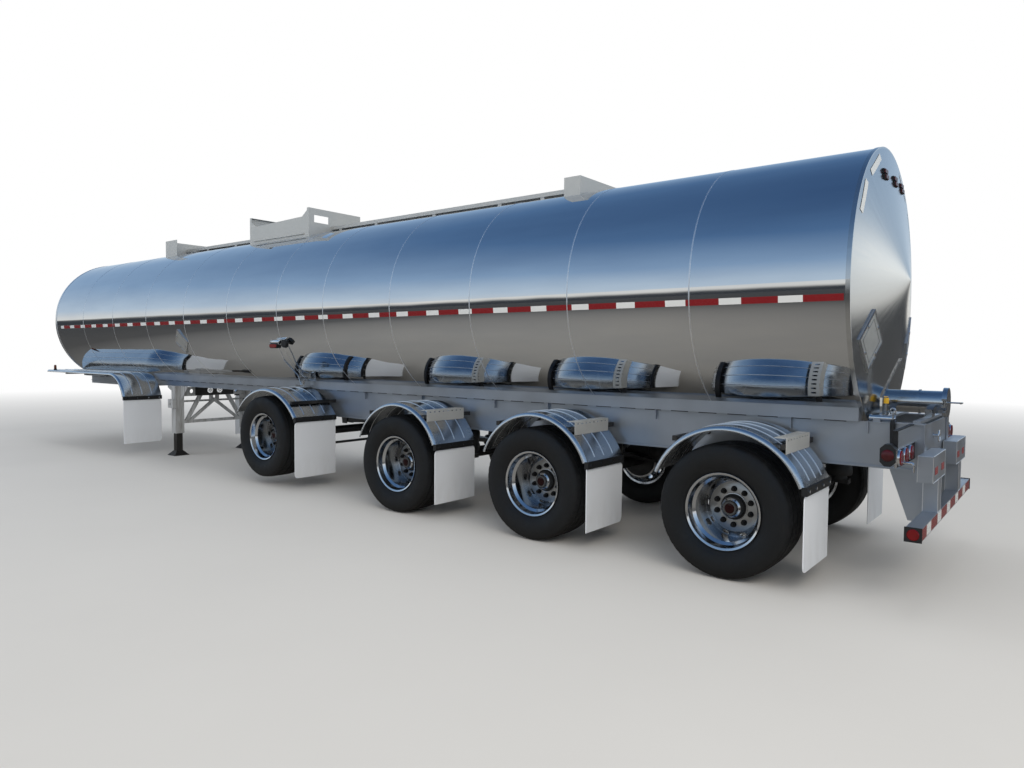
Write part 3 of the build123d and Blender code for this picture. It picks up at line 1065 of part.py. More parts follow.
# Bumper: gusset plates down from the rails, posts, upper boxes and the beam
with BuildPart() as bumper_plates:
    for side in (1, -1):
        side_plate([(-1020, RAIL_BOTTOM - FLANGE_THICK), (RAIL_REAR, RAIL_BOTTOM - FLANGE_THICK),
                    (RAIL_REAR, BUMPER_Z), (-1150, BUMPER_Z)],
                   (side * RAIL_OUT, side * (RAIL_OUT - 8)))
keep(bumper_plates, "bumper_plates")

with BuildPart() as bumper_beam:
    front = BUMPER_REAR + BUMPER_DEEP
    block((BUMPER_REAR, front), (-BUMPER_HALF, BUMPER_HALF), (BUMPER_Z, BUMPER_Z + BUMPER_TALL))
    for side in (1, -1):
        block((BUMPER_REAR, front), (side * POST_IN, side * POST_OUT), (BUMPER_Z + BUMPER_TALL, PAD_BOX_Z))
        block((BUMPER_REAR, front), (side * PAD_BOX_IN, side * PAD_BOX_OUT), (PAD_BOX_Z, PAD_BOX_Z + PAD_BOX_TALL))
keep(bumper_beam, "bumper_beam")
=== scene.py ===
import json
import math

import bmesh
import bpy
import numpy as np
from mathutils import Matrix, Vector


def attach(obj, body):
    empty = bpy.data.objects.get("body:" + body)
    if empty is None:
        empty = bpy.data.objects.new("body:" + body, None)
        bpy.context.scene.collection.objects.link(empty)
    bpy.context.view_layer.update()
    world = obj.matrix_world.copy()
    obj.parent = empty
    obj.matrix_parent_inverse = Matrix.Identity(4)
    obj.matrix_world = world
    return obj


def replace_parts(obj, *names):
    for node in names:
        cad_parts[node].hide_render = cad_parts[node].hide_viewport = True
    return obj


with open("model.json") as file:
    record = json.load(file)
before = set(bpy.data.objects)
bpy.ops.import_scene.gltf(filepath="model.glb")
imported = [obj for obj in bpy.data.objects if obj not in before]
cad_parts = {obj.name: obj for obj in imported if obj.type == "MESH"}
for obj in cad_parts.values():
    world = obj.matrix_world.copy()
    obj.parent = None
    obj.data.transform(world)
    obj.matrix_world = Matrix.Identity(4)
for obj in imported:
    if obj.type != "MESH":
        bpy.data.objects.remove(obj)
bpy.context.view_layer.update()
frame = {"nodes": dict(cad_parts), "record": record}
record = frame["record"]

# The row's frame, in metres. Stations run forward from the rearmost axle, as in the part's source.
MID = 5.966
TANK_R, TANK_Z = 1.130, 2.258
REAR_RIM, FRONT_RIM, SHEET, SHORT_SHEET = -0.810, 13.043, 1.173, 0.950
CONE_BACK, CONE_DEPTH, CONE_R, CONE_TIP_R, CONE_TIP_UP = -0.842, 0.183, TANK_R - 0.006, 0.014, 0.075
AXLES = [("1", 6.115, 0.625), ("2", 3.640, 0.522), ("3", 1.820, 0.522), ("4", 0.0, 0.522)]
SIDES = ((1, "left"), (-1, "right"))
TAPE_RED, TAPE_PITCH = 0.279, 0.457

# Tyres: points (y, r) of a sidewall from the tyre's middle, then its rings, grooves and sipes
TYRE_R, TYRE_OUT, TYRE_WIDE, TYRE_STEPS = 0.522, 1.295, 0.445, 288
TOE, BEAD, BULGE, SHOULDER = (0.172, 0.2868), (0.1765, 0.3025), (0.2215, 0.400), (0.2055, 0.497)
WALL_RINGS, RING_HALF = ((0.3180, 0.0020), (0.3470, 0.0012), (0.4500, 0.0010)), 0.0030
GROOVES, GROOVE_FLOOR, GROOVE_LIP, GROOVE_DEEP = (0.046, 0.134), 0.0045, 0.006, 0.011
TREAD_EDGE, CROWN, RIB_TO, SHOULDER_FROM = 0.194, 0.012, 0.125, 0.145
SIPE_EVERY, RIB_SIPE, SHOULDER_SIPE = 6, 0.003, 0.0035

# Wheels: rise from the disc's face, radius, height and sides of a nut's parts, then lathed profiles
DISC_OUT, NUTS, NUT_CIRCLE = 1.012, 10, 0.142875
NUT_PARTS = ((0.0, 0.0235, 0.006, 20), (0.006, 0.0190, 0.024, 6), (0.030, 0.0105, 0.012, 10))
FACE = ((0.0, 0.1085), (0.0012, 0.1095), (0.0012, 0.194), (0.0, 0.196))
HUB_RING = ((0.008, 0.104), (0.0095, 0.103), (0.0125, 0.0855), (0.012, 0.084))
HUB_BOLTS, HUB_BOLT_CIRCLE, HUB_BOLT_RISE = 6, 0.070, 0.064
HUB_CAP = ((0.0125, 0.0855), (0.062, 0.0810), (0.064, 0.0795), (0.0665, 0.0600), (0.086, 0.0580),
           (0.0930, 0.0560), (0.0975, 0.0520), (0.0975, 0.0400), (0.0935, 0.0395))
SIGHT_GLASS = ((0.0935, 0.040), (0.0985, 0.037), (0.1015, 0.018), (0.1020, 0.0))

# Fenders: station, height and radius of the arc, and its foot's height; then the guards and their arms
FIXED_FENDERS = [(x - 0.020, 0.546, 0.640, 0.784) for x in (0.0, 1.820, 3.640)]
STEER_FENDER = (6.049, 0.454, 0.796, 0.915)
FENDER_OUT, FENDER_WIDE, ROLL, DROP, THIN, RIB_R = 1.290, 0.620, 0.034, 0.040, 0.003, 0.0065
DECK_Z, DECK_BACK, DECK_FRONT, QUARTER_R, GUARD_DROP, DECK_IN = 1.345, 10.503, 13.088, 0.541, 0.373, 0.672
GUARD_ARMS, ARM_WIDE, ARM_FOOT, ARM_TOP, ARM_IN = (10.700, 11.500, 12.300), 0.050, 0.065, 0.030, 0.642

# Rear: bumper, its boxes with thin bright rods along their edges as painted highlights, and the lamp carriers
BOX_REAR, BOX_FRONT, BUMPER_HALF, EDGE_GLINT_R = -1.345, -1.249, 1.230, 0.0028
LAMPS_Y, LAMPS_Z, CARRIER_BACK = (0.790, 0.980, 1.170), 1.040, -1.184


# Small helpers

def lin(code, alpha=1.0):
    """An sRGB hex colour as linear light: c/12.92 below 0.04045, else ((c + 0.055) / 1.055) ** 2.4."""
    parts = [int(code[i:i + 2], 16) / 255 for i in (0, 2, 4)]
    return tuple(c / 12.92 if c <= 0.04045 else ((c + 0.055) / 1.055) ** 2.4 for c in parts) + (alpha,)


def new_material(name, metallic=0.0):
    """A named material with nodes; returns it, its tree, its main shader and its Object coordinates."""
    material = bpy.data.materials.new(name)
    material.use_nodes = True
    tree = material.node_tree
    shader = tree.nodes["Principled BSDF"]
    shader.inputs["Metallic"].default_value = metallic
    where = tree.nodes.new("ShaderNodeTexCoord").outputs["Object"]
    return material, tree, shader, where


def add(tree, kind, settings=None, **inputs):
    """Adds one node with its settings. An input goes by its name, underscores standing for spaces, or by
    i and its number, and takes a value or a link."""
    node = tree.nodes.new("ShaderNode" + kind)
    for key, value in (settings or {}).items():
        setattr(node, key, value)
    for key, value in inputs.items():
        numbered = key[0] == "i" and key[1:].isdigit()
        socket = node.inputs[int(key[1:]) if numbered else key.replace("_", " ")]
        if isinstance(value, bpy.types.NodeSocket):
            tree.links.new(value, socket)
        else:
            socket.default_value = value
    return node


def sized(tree, where, scale):
    """Object coordinates stretched along each axis."""
    return add(tree, "Mapping", Vector=where, Scale=scale).outputs["Vector"]


def axes(tree, where):
    """The three coordinates by themselves."""
    return add(tree, "SeparateXYZ", Vector=where).outputs


def noise(tree, vector, scale, detail=3.0, rough=0.5):
    """Fractal noise from 0 to 1."""
    settings = {"Vector": vector, "Scale": scale, "Detail": detail, "Roughness": rough}
    return add(tree, "TexNoise", **settings).outputs["Fac"]


def cells(tree, where):
    """Distance to the edges of a fine cell pattern, as in retroreflective tape."""
    return add(tree, "TexVoronoi", {"feature": "DISTANCE_TO_EDGE"}, Vector=where,
               Scale=300.0).outputs["Distance"]


def ramp(tree, value, low, high, start=0.0, end=1.0):
    """Maps a value from start..end to low..high, clamped."""
    return add(tree, "MapRange", i0=value, i1=start, i2=end, i3=low, i4=high).outputs["Result"]


def mix(tree, fac, one, two):
    """Blends from colour one to colour two."""
    return add(tree, "Mix", {"data_type": "RGBA"}, Factor=fac, i6=one, i7=two).outputs[2]


def calc(tree, kind, one, two=0.0, three=0.0):
    """One step of arithmetic."""
    return add(tree, "Math", {"operation": kind}, i0=one, i1=two, i2=three).outputs[0]


def coat(tree, shader, fac, one, two, rough=None):
    """Colours a shader from one hex code to the other, with a roughness that varies if one is given."""
    tree.links.new(mix(tree, fac, lin(one), lin(two)), shader.inputs["Base Color"])
    if rough is not None:
        tree.links.new(rough, shader.inputs["Roughness"])


def bump(tree, shader, height, strength, distance, edge=0.0):
    """Fine relief from a height; edge rounds the look of sharp corners by that radius."""
    node = add(tree, "Bump", Height=height, Strength=strength, Distance=distance)
    if edge:
        rounded = add(tree, "Bevel", {"samples": 4}, Radius=edge).outputs[0]
        tree.links.new(rounded, node.inputs["Normal"])
    tree.links.new(node.outputs["Normal"], shader.inputs["Normal"])


def mesh_from(name, verts, faces, body, material, smooth=True):
    """One mesh object at the origin, riding on a body."""
    mesh = bpy.data.meshes.new(name)
    mesh.from_pydata([tuple(v) for v in np.asarray(verts, float).tolist()], [], faces)
    mesh.update()
    mesh.polygons.foreach_set("use_smooth", np.full(len(mesh.polygons), smooth))
    if smooth:
        mesh.set_sharp_from_angle(angle=math.radians(40))
    mesh.materials.append(material)
    obj = bpy.data.objects.new(name, mesh)
    bpy.context.scene.collection.objects.link(obj)
    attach(obj, body)
    return obj


def grid_faces(rows, cols, wrap_rows=False, wrap_cols=False, flip=False):
    """Quads over a rows x cols grid of points, wrapping where asked."""
    r = np.arange(rows if wrap_rows else rows - 1)
    c = np.arange(cols if wrap_cols else cols - 1)
    rr, cc = np.meshgrid(r, c, indexing="ij")
    a = rr * cols + cc
    b = rr * cols + (cc + 1) % cols
    d = ((rr + 1) % rows) * cols + cc
    e = ((rr + 1) % rows) * cols + (cc + 1) % cols
    order = (a, d, e, b) if flip else (a, b, e, d)
    return np.stack(order, -1).reshape(-1, 4).tolist()


def circle(steps, turn=0.0):
    """Angles of equal steps once round, from turn on."""
    return np.arange(steps) / steps * 2 * np.pi + turn


class Batch:
    """Collects many small grids and prisms into one mesh."""

    def __init__(self):
        self.verts, self.faces, self.count = [], [], 0

    def put(self, points, faces):
        points = np.asarray(points, float).reshape(-1, 3)
        self.faces += [[i + self.count for i in f] for f in faces]
        self.verts.append(points)
        self.count += len(points)

    def grid(self, points, wrap_rows=False, wrap_cols=False, flip=False):
        rows, cols = points.shape[:2]
        self.put(points, grid_faces(rows, cols, wrap_rows, wrap_cols, flip))

    def box(self, low, high):
        (x0, y0, z0), (x1, y1, z1) = np.minimum(low, high), np.maximum(low, high)
        points = [(x, y, z) for x in (x0, x1) for y in (y0, y1) for z in (z0, z1)]
        self.put(points, [[0, 1, 3, 2], [4, 6, 7, 5], [0, 4, 5, 1], [2, 3, 7, 6], [0, 2, 6, 4],
                          [1, 5, 7, 3]])

    def prism(self, base, axis, radius, height, sides=6, top=1.0, turn=0.0):
        """A prism or cone stump from base along axis: ring k is base + h_k axis + r_k (cos t u + sin t v)."""
        axis = np.asarray(axis, float) / np.linalg.norm(axis)
        u = np.cross(axis, (0.31, 0.87, 0.39))
        u /= np.linalg.norm(u)
        v = np.cross(axis, u)
        t = circle(sides, turn)
        ring = np.cos(t)[:, None] * u + np.sin(t)[:, None] * v
        low = np.asarray(base, float) + radius * ring
        high = np.asarray(base, float) + height * axis + radius * top * ring
        k = np.arange(sides)
        faces = np.stack((k, (k + 1) % sides, (k + 1) % sides + sides, k + sides), -1).tolist()
        ends = [list(range(sides))[::-1], list(range(sides, 2 * sides))]
        self.put(np.vstack((low, high)), faces + ends)

    def tube(self, path, radius, sides=8, closed=False):
        """A round tube along a path, each ring square to the path's direction."""
        path = np.asarray(path, float)
        step = np.roll(path, -1, 0) - np.roll(path, 1, 0)
        if not closed:
            step[0], step[-1] = path[1] - path[0], path[-1] - path[-2]
        step /= np.linalg.norm(step, axis=1)[:, None]
        side = np.cross(step, (0.12, 0.21, 0.97))
        flat = np.linalg.norm(side, axis=1) < 0.3
        side[flat] = np.cross(step[flat], (0.97, 0.2, 0.1))
        side /= np.linalg.norm(side, axis=1)[:, None]
        up = np.cross(side, step)
        t = circle(sides)
        ring = np.cos(t)[None, :, None] * side[:, None] + np.sin(t)[None, :, None] * up[:, None]
        self.grid(path[:, None] + radius * ring, wrap_rows=closed, wrap_cols=True)

    def lathe(self, centre, axis, profile, steps=48, wrap_profile=False):
        """A surface of revolution: profile holds (distance along axis, radius) pairs."""
        axis = np.asarray(axis, float)
        u = np.array((1.0, 0, 0)) if abs(axis[0]) < 0.5 else np.array((0, 1.0, 0))
        v = np.cross(axis, u)
        p = np.asarray(profile, float)
        t = circle(steps)
        ring = np.cos(t)[:, None] * u + np.sin(t)[:, None] * v
        points = np.asarray(centre, float) + p[None, :, :1] * axis + p[None, :, 1:] * ring[:, None, :]
        self.grid(points, wrap_rows=True, wrap_cols=wrap_profile)

    def make(self, name, body, slot, material, smooth=True, outward=False):
        """Makes the mesh; outward turns every closed shape's faces to its outside."""
        obj = mesh_from(name, np.vstack(self.verts), self.faces, body, material, smooth)
        if outward:
            work = bmesh.new()
            work.from_mesh(obj.data)
            bmesh.ops.recalc_face_normals(work, faces=work.faces)
            work.to_mesh(obj.data)
            work.free()
        return obj


def st(station):
    """X of a station, in metres."""
    return station - MID


def cone_x(y, z):
    """X of the rear cone at (y, z): the eccentric cone y^2 + (c - u t)^2 = (R0 - k t)^2 solved for t."""
    c = z - TANK_Z
    r0, k, u = CONE_R, CONE_R - CONE_TIP_R, CONE_TIP_UP
    a, b, d = u * u - k * k, 2 * (r0 * k - c * u), y * y + c * c - r0 * r0
    t = (-b + np.sqrt(b * b - 4 * a * d)) / (2 * a)
    return st(CONE_BACK - CONE_DEPTH * t)


# Materials: each is a real finish; a few also carry painted shade, a painted highlight or a painted glow, as
# said where they are used

def polished_steel():
    """Stainless sheet polished to a mirror: faint waves between the seams, a trace of wiped haze."""
    m, t, s, where = new_material("polished stainless", 1.0)
    haze = noise(t, sized(t, where, (0.5, 3.0, 3.0)), 1.6, 4.0)
    coat(t, s, ramp(t, haze, 0, 1, 0.35, 0.7), "d9dcdf", "cfd3d8", ramp(t, haze, 0.02, 0.06, 0.3, 0.75))
    bump(t, s, noise(t, sized(t, where, (0.9, 0.35, 0.35)), 1.7, 1.0), 0.15, 0.030)
    return m


def brushed_cone():
    """Stainless head brushed outwards from its tip: streaks run along the radius."""
    m, t, s, where = new_material("radially brushed stainless", 1.0)
    axis = axes(t, where)
    up = calc(t, "SUBTRACT", axis[2], TANK_Z + CONE_TIP_UP)
    turn = calc(t, "ARCTAN2", up, axis[1])
    far = calc(t, "SQRT", calc(t, "ADD", calc(t, "POWER", axis[1], 2.0), calc(t, "POWER", up, 2.0)))
    polar = add(t, "CombineXYZ", X=calc(t, "MULTIPLY", turn, 9.0), Y=calc(t, "MULTIPLY", far, 0.7))
    broad = noise(t, polar.outputs[0], 2.2, 3.0)
    streaks = add(t, "CombineXYZ", X=calc(t, "MULTIPLY", turn, 90.0), Y=far)
    fine = noise(t, streaks.outputs[0], 3.0, 2.0)
    coat(t, s, broad, "b8bbbd", "cccfd1",
         calc(t, "ADD", ramp(t, broad, 0.13, 0.18, 0.3, 0.7), calc(t, "MULTIPLY", fine, 0.04)))
    bump(t, s, fine, 0.015, 0.001)
    return m


def satin_steel():
    """Satin stainless plate, brushed along the trailer, with smudges."""
    m, t, s, where = new_material("satin stainless", 0.82)
    lines = noise(t, sized(t, where, (1.5, 60.0, 60.0)), 3.0, 3.0)
    smudge = noise(t, where, 3.1, 4.0)
    coat(t, s, smudge, "989fa8", "b3b9c1",
         calc(t, "ADD", ramp(t, smudge, 0.27, 0.38, 0.3, 0.7), calc(t, "MULTIPLY", lines, 0.06)))
    bump(t, s, lines, 0.015, 0.001)
    return m


def dull_sheet():
    """Mill-finished aluminium sheet, weathered dull and a little cloudy."""
    m, t, s, where = new_material("weathered aluminium sheet", 0.35)
    cloud = noise(t, where, 4.5, 5.0)
    coat(t, s, cloud, "b9bab6", "d3d3cf", ramp(t, cloud, 0.36, 0.55, 0.3, 0.7))
    bump(t, s, noise(t, where, 260.0, 2.0), 0.05, 0.001)
    return m


def bright_fender():
    """Bright rolled sheet of the fenders: clear reflections softened by fine road film, more so low down."""
    m, t, s, where = new_material("bright rolled fender sheet", 1.0)
    film = noise(t, sized(t, where, (2.0, 2.0, 4.0)), 2.6, 4.0)
    low = ramp(t, axes(t, where)[2], 0.10, 0.0, 0.75, 1.15)
    coat(t, s, film, "bcc0c4", "dcdfe2", calc(t, "ADD", ramp(t, film, 0.11, 0.22, 0.3, 0.7), low))
    bump(t, s, noise(t, where, 2.5, 1.0), 0.03, 0.006)
    return m


def chassis_black():
    """Black chassis enamel with dust settled on it."""
    m, t, s, where = new_material("dusty black chassis enamel")
    dust = ramp(t, noise(t, where, 5.0, 5.0, 0.6), 0.0, 1.0, 0.42, 0.75)
    coat(t, s, dust, "141517", "3b3936", ramp(t, dust, 0.34, 0.75))
    bump(t, s, noise(t, where, 180.0, 2.0), 0.08, 0.001)
    return m


def wheel_aluminium():
    """Forged and polished aluminium, with brake dust low in the dish."""
    m, t, s, where = new_material("polished forged aluminium", 1.0)
    cloud = noise(t, where, 7.0, 4.0)
    deep = ramp(t, calc(t, "ABSOLUTE", axes(t, where)[1]), 1.0, 0.0, 0.98, 1.16)
    dirt = calc(t, "MULTIPLY", deep, ramp(t, cloud, 0.15, 0.8, 0.35, 0.7))
    coat(t, s, dirt, "d3d6da", "85827e",
         calc(t, "ADD", ramp(t, dirt, 0.09, 0.38), ramp(t, cloud, 0.0, 0.05)))
    bump(t, s, noise(t, where, 30.0, 2.0), 0.03, 0.002, 0.003)
    return m


def tyre_rubber():
    """Tyre rubber, worn matt and greyed by dust in patches."""
    m, t, s, where = new_material("worn tyre rubber")
    dust = noise(t, where, 9.0, 5.0, 0.6)
    coat(t, s, ramp(t, dust, 0.0, 0.8, 0.4, 0.75), "0d0e0f", "1d1c1b",
         ramp(t, dust, 0.55, 0.78, 0.3, 0.7))
    bump(t, s, noise(t, where, 420.0, 2.0), 0.12, 0.0006)
    return m


def moulded_rubber():
    """Black moulded rubber, semi-matt."""
    m, t, s, where = new_material("moulded black rubber")
    grain = noise(t, where, 60.0, 3.0)
    coat(t, s, grain, "101113", "232323", ramp(t, grain, 0.45, 0.65))
    bump(t, s, noise(t, where, 350.0, 2.0), 0.10, 0.0006)
    return m


def white_flap():
    """White flap sheet, greyed by spray towards its foot."""
    m, t, s, where = new_material("white flap sheet")
    spray = noise(t, sized(t, where, (1.0, 5.0, 2.0)), 2.0, 5.0)
    low = ramp(t, axes(t, where)[2], 0.5, 0.04, 0.15, 0.50)
    coat(t, s, calc(t, "MULTIPLY", low, ramp(t, spray, 0.1, 0.8, 0.3, 0.7)), "e6eaef", "c2c3c3",
         ramp(t, spray, 0.38, 0.60))
    bump(t, s, noise(t, where, 40.0, 3.0), 0.06, 0.002)
    return m


def leg_grey():
    """Light grey enamel on the landing legs, with grime in streaks."""
    m, t, s, where = new_material("light grey leg enamel")
    grime = noise(t, sized(t, where, (9.0, 9.0, 1.2)), 2.4, 5.0, 0.6)
    coat(t, s, ramp(t, grime, 0.0, 0.8, 0.45, 0.75), "b2b4b5", "6d6862", ramp(t, grime, 0.38, 0.66))
    bump(t, s, noise(t, where, 120.0, 2.0), 0.05, 0.001, 0.006)
    return m


def leg_black():
    """Greased black steel of the inner legs and feet."""
    m, t, s, where = new_material("greased black steel")
    grease = noise(t, sized(t, where, (6.0, 6.0, 2.0)), 4.0, 4.0)
    coat(t, s, grease, "0d0d0e", "2b2724", ramp(t, grease, 0.22, 0.60))
    return m


def red_lens():
    """Moulded red lens with fine vertical flutes."""
    m, t, s, where = new_material("fluted red lens")
    axis = axes(t, where)
    wave = calc(t, "SINE", calc(t, "MULTIPLY", calc(t, "ADD", axis[1], axis[0]), 900.0))
    coat(t, s, noise(t, where, 20.0), "52060b", "780b12")
    s.inputs["Roughness"].default_value = 0.10
    bump(t, s, wave, 0.15, 0.001)
    return m


def placard_sheet():
    """Bare aluminium of the blank placards: pale, soft-brushed, a little cloudy."""
    m, t, s, where = new_material("bare aluminium placard", 0.75)
    cloud = noise(t, where, 14.0, 4.0)
    coat(t, s, cloud, "b3b6b5", "cfd1cf", ramp(t, cloud, 0.34, 0.48))
    bump(t, s, noise(t, sized(t, where, (4.0, 4.0, 90.0)), 3.0, 2.0), 0.04, 0.001)
    return m


def weld_and_highlight_line():
    """A dressed weld along a seam: pale, matt beside the mirror sheet, with a fine ripple. On the fender ribs
    and along the bumper boxes' edges the same pale finish is a painted highlight.
    """
    m, t, s, where = new_material("dressed weld and painted highlight line", 0.95)
    ripple = noise(t, where, 90.0, 2.0)
    coat(t, s, ripple, "dfe2e5", "f4f5f6", ramp(t, ripple, 0.30, 0.44))
    bump(t, s, ripple, 0.10, 0.001)
    return m


def machined_face():
    """Machined aluminium of a wheel's disc face: fine turning marks, dulled by the road."""
    m, t, s, where = new_material("machined disc face", 0.9)
    film = noise(t, where, 16.0, 4.0)
    coat(t, s, film, "9c9c9b", "b9b9b7", ramp(t, film, 0.28, 0.42))
    bump(t, s, noise(t, where, 240.0, 2.0), 0.05, 0.0006)
    return m


def dark_nut():
    """Phosphated steel of the wheel nuts, nearly black; on the hub's ring the same near black is painted
    shade of the bore.
    """
    m, t, s, where = new_material("phosphated steel with painted bore shade", 0.8)
    film = noise(t, where, 60.0, 3.0)
    coat(t, s, film, "1b1b1d", "3c3b3a", ramp(t, film, 0.35, 0.55))
    return m


def sight_glass():
    """Dark red sight glass of a hub's oil cap."""
    m, t, s, where = new_material("dark red sight glass")
    coat(t, s, noise(t, where, 50.0), "120304", "260609")
    s.inputs["Roughness"].default_value = 0.14
    s.inputs["Specular IOR Level"].default_value = 0.2
    return m


def cast_hub():
    """Cast aluminium of a hub's cap, grey and matt with road dust."""
    m, t, s, where = new_material("cast hub aluminium", 0.45)
    dust = noise(t, where, 35.0, 4.0)
    coat(t, s, dust, "3f4042", "636361", ramp(t, dust, 0.46, 0.68))
    bump(t, s, noise(t, where, 300.0, 2.0), 0.10, 0.0008)
    return m


def bright_trim():
    """Chromed trim of lamps and small fittings, with fine wiping marks."""
    m, t, s, where = new_material("chromed trim", 1.0)
    marks = noise(t, sized(t, where, (30.0, 8.0, 30.0)), 3.0, 4.0)
    coat(t, s, marks, "d9dbdd", "eff0f1", ramp(t, marks, 0.08, 0.22, 0.3, 0.7))
    return m


def enamel(name, dark, light, painted_glow=0.0):
    """Glossy enamel of one colour, a little uneven; the last argument is an emission strength, a painted glow
    for a part that is no lamp.
    """
    m, t, s, where = new_material(name)
    # A strength above nought paints a glow on a part that is no lamp.
    s.inputs["Emission Color"].default_value = lin(light)
    s.inputs["Emission Strength"].default_value = painted_glow
    coat(t, s, noise(t, where, 18.0, 3.0), dark, light, ramp(t, noise(t, where, 40.0, 3.0), 0.25, 0.42))
    return m


def retro_tape(name, axis_index, offset):
    """Retroreflective tape: 279 mm of red and 178 mm of white in turn along one axis, over fine cells."""
    m, t, s, where = new_material(name)
    along = calc(t, "ADD", axes(t, where)[axis_index], -offset)
    red = calc(t, "LESS_THAN", calc(t, "WRAP", along, TAPE_PITCH, 0.0), TAPE_RED)
    mesh = cells(t, where)
    coat(t, s, red, "dcdedd", "7d0d14", ramp(t, mesh, 0.45, 0.22, 0.0, 0.2))
    bump(t, s, mesh, 0.12, 0.0005)
    return m


def plain_tape(name, colour):
    """Retroreflective tape of one colour with a fine cell pattern."""
    m, t, s, where = new_material(name)
    mesh = cells(t, where)
    coat(t, s, ramp(t, mesh, 0.12, 0.0, 0.0, 0.2), colour, "b9bab8", ramp(t, mesh, 0.45, 0.22, 0.0, 0.2))
    return m


FINISH = {
    "tank_steel": polished_steel(), "end_steel": brushed_cone(), "frame_steel": satin_steel(),
    "sheet_metal": dull_sheet(), "fender_metal": bright_fender(), "running_gear": chassis_black(),
    "wheel_metal": wheel_aluminium(), "tyre_rubber": tyre_rubber(), "black_rubber": moulded_rubber(),
    "flap_white": white_flap(), "leg_paint": leg_grey(), "leg_black": leg_black(), "lamp_red": red_lens(),
    "placard": placard_sheet(),
}
RUBBER, LENS, FENDER = FINISH["black_rubber"], FINISH["lamp_red"], FINISH["fender_metal"]
WELD_AND_HIGHLIGHT, MACHINED, NUT, GLASS, CAST = weld_and_highlight_line(), machined_face(), dark_nut(), sight_glass(), cast_hub()
TRIM, DEEP = bright_trim(), enamel("deep red lens", "2c0408", "4a070d")
SLOT_OF = {s["node"]: s["material_slot"] for s in record["subparts"]}
for name, obj in frame["nodes"].items():
    trimmed = name in ("outlet_fittings", "lamp_stalks")
    obj.data.materials.clear()
    obj.data.materials.append(TRIM if trimmed else FINISH[SLOT_OF[name]])


# Tyres with tread and sidewall detail

def tyre_mesh(axle, height, side):
    """r(s, a) = profile radius, less grooves that depend on the place across s, less sipes that depend on s
    and the angle a. Each sidewall is the arc through bead, bulge and shoulder, with three raised rings."""
    mid = TYRE_OUT - TYRE_WIDE / 2
    (y1, r1), (y2, r2), (y3, r3) = BEAD, BULGE, SHOULDER
    a = np.array([[y2 - y1, r2 - r1], [y3 - y2, r3 - r2]])
    b = np.array([y2 * y2 - y1 * y1 + r2 * r2 - r1 * r1, y3 * y3 - y2 * y2 + r3 * r3 - r2 * r2]) / 2
    yc, rc = np.linalg.solve(a, b)
    wall_r = np.linspace(r1, r3, 40)
    wall_y = yc + np.sqrt((y1 - yc) ** 2 + (r1 - rc) ** 2 - (wall_r - rc) ** 2)
    for ring, proud in WALL_RINGS:
        wall_y = wall_y + proud * np.exp(-((wall_r - ring) / RING_HALF) ** 2)
    wall_y = np.concatenate([[TOE[0]], wall_y])
    wall_r = np.concatenate([[TOE[1]], wall_r])
    steps = (-GROOVE_LIP, -GROOVE_FLOOR, GROOVE_FLOOR, GROOVE_LIP)
    edges = [c + d for c in GROOVES for d in steps]
    plain = [0.010, 0.028, 0.065, 0.085, 0.105, 0.122, 0.150, 0.165, 0.182, TREAD_EDGE]
    half = np.array(sorted(edges + plain))
    tread_y = np.concatenate([-half[::-1], half])
    from_groove = np.min([np.abs(np.abs(tread_y) - c) for c in GROOVES], axis=0)
    groove = from_groove < (GROOVE_FLOOR + GROOVE_LIP) / 2
    crown = CROWN * (np.abs(tread_y) / TREAD_EDGE) ** 4
    tread_r = TYRE_R - crown - np.where(groove, GROOVE_DEEP, 0.0)
    y = np.concatenate([-wall_y, tread_y, wall_y[::-1]])
    r = np.concatenate([wall_r, tread_r, wall_r[::-1]])
    rim = np.zeros(len(wall_y))
    shoulder = np.concatenate([rim, np.abs(tread_y) > SHOULDER_FROM, rim]) > 0
    rib = np.concatenate([rim, (np.abs(tread_y) < RIB_TO) & ~groove, rim]) > 0
    step = np.arange(TYRE_STEPS)
    cut = np.zeros((TYRE_STEPS, len(y)))
    cut[np.ix_(step % SIPE_EVERY == 5, shoulder)] = SHOULDER_SIPE
    cut[np.ix_(step % SIPE_EVERY == 2, rib)] = RIB_SIPE
    radius = r[None] - cut
    turn = step[:, None] / TYRE_STEPS * 2 * np.pi
    across = np.broadcast_to(side * (mid + y), radius.shape)
    return np.stack([st(axle) + radius * np.cos(turn), across, height + radius * np.sin(turn)], -1)


for number, axle, height in AXLES:
    for side, word in SIDES:
        grid = tyre_mesh(axle, height, side)
        faces = grid_faces(*grid.shape[:2], True, True, flip=side < 0)
        tyre = mesh_from(f"tread_{number}_{word}", grid.reshape(-1, 3), faces,
                         f"wheel_{number}_{word}_set", FINISH["tyre_rubber"])
        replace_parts(tyre, f"tyre_{number}_{word}")


# Wheels: nuts, machined disc faces, hub rings, caps and sight glasses

def turned(hub, out, profile, steps, batch=None):
    """Lathes a profile that starts from the disc's face."""
    batch = batch or Batch()
    batch.lathe(hub, out, [(DISC_OUT + rise, radius) for rise, radius in profile], steps)
    return batch


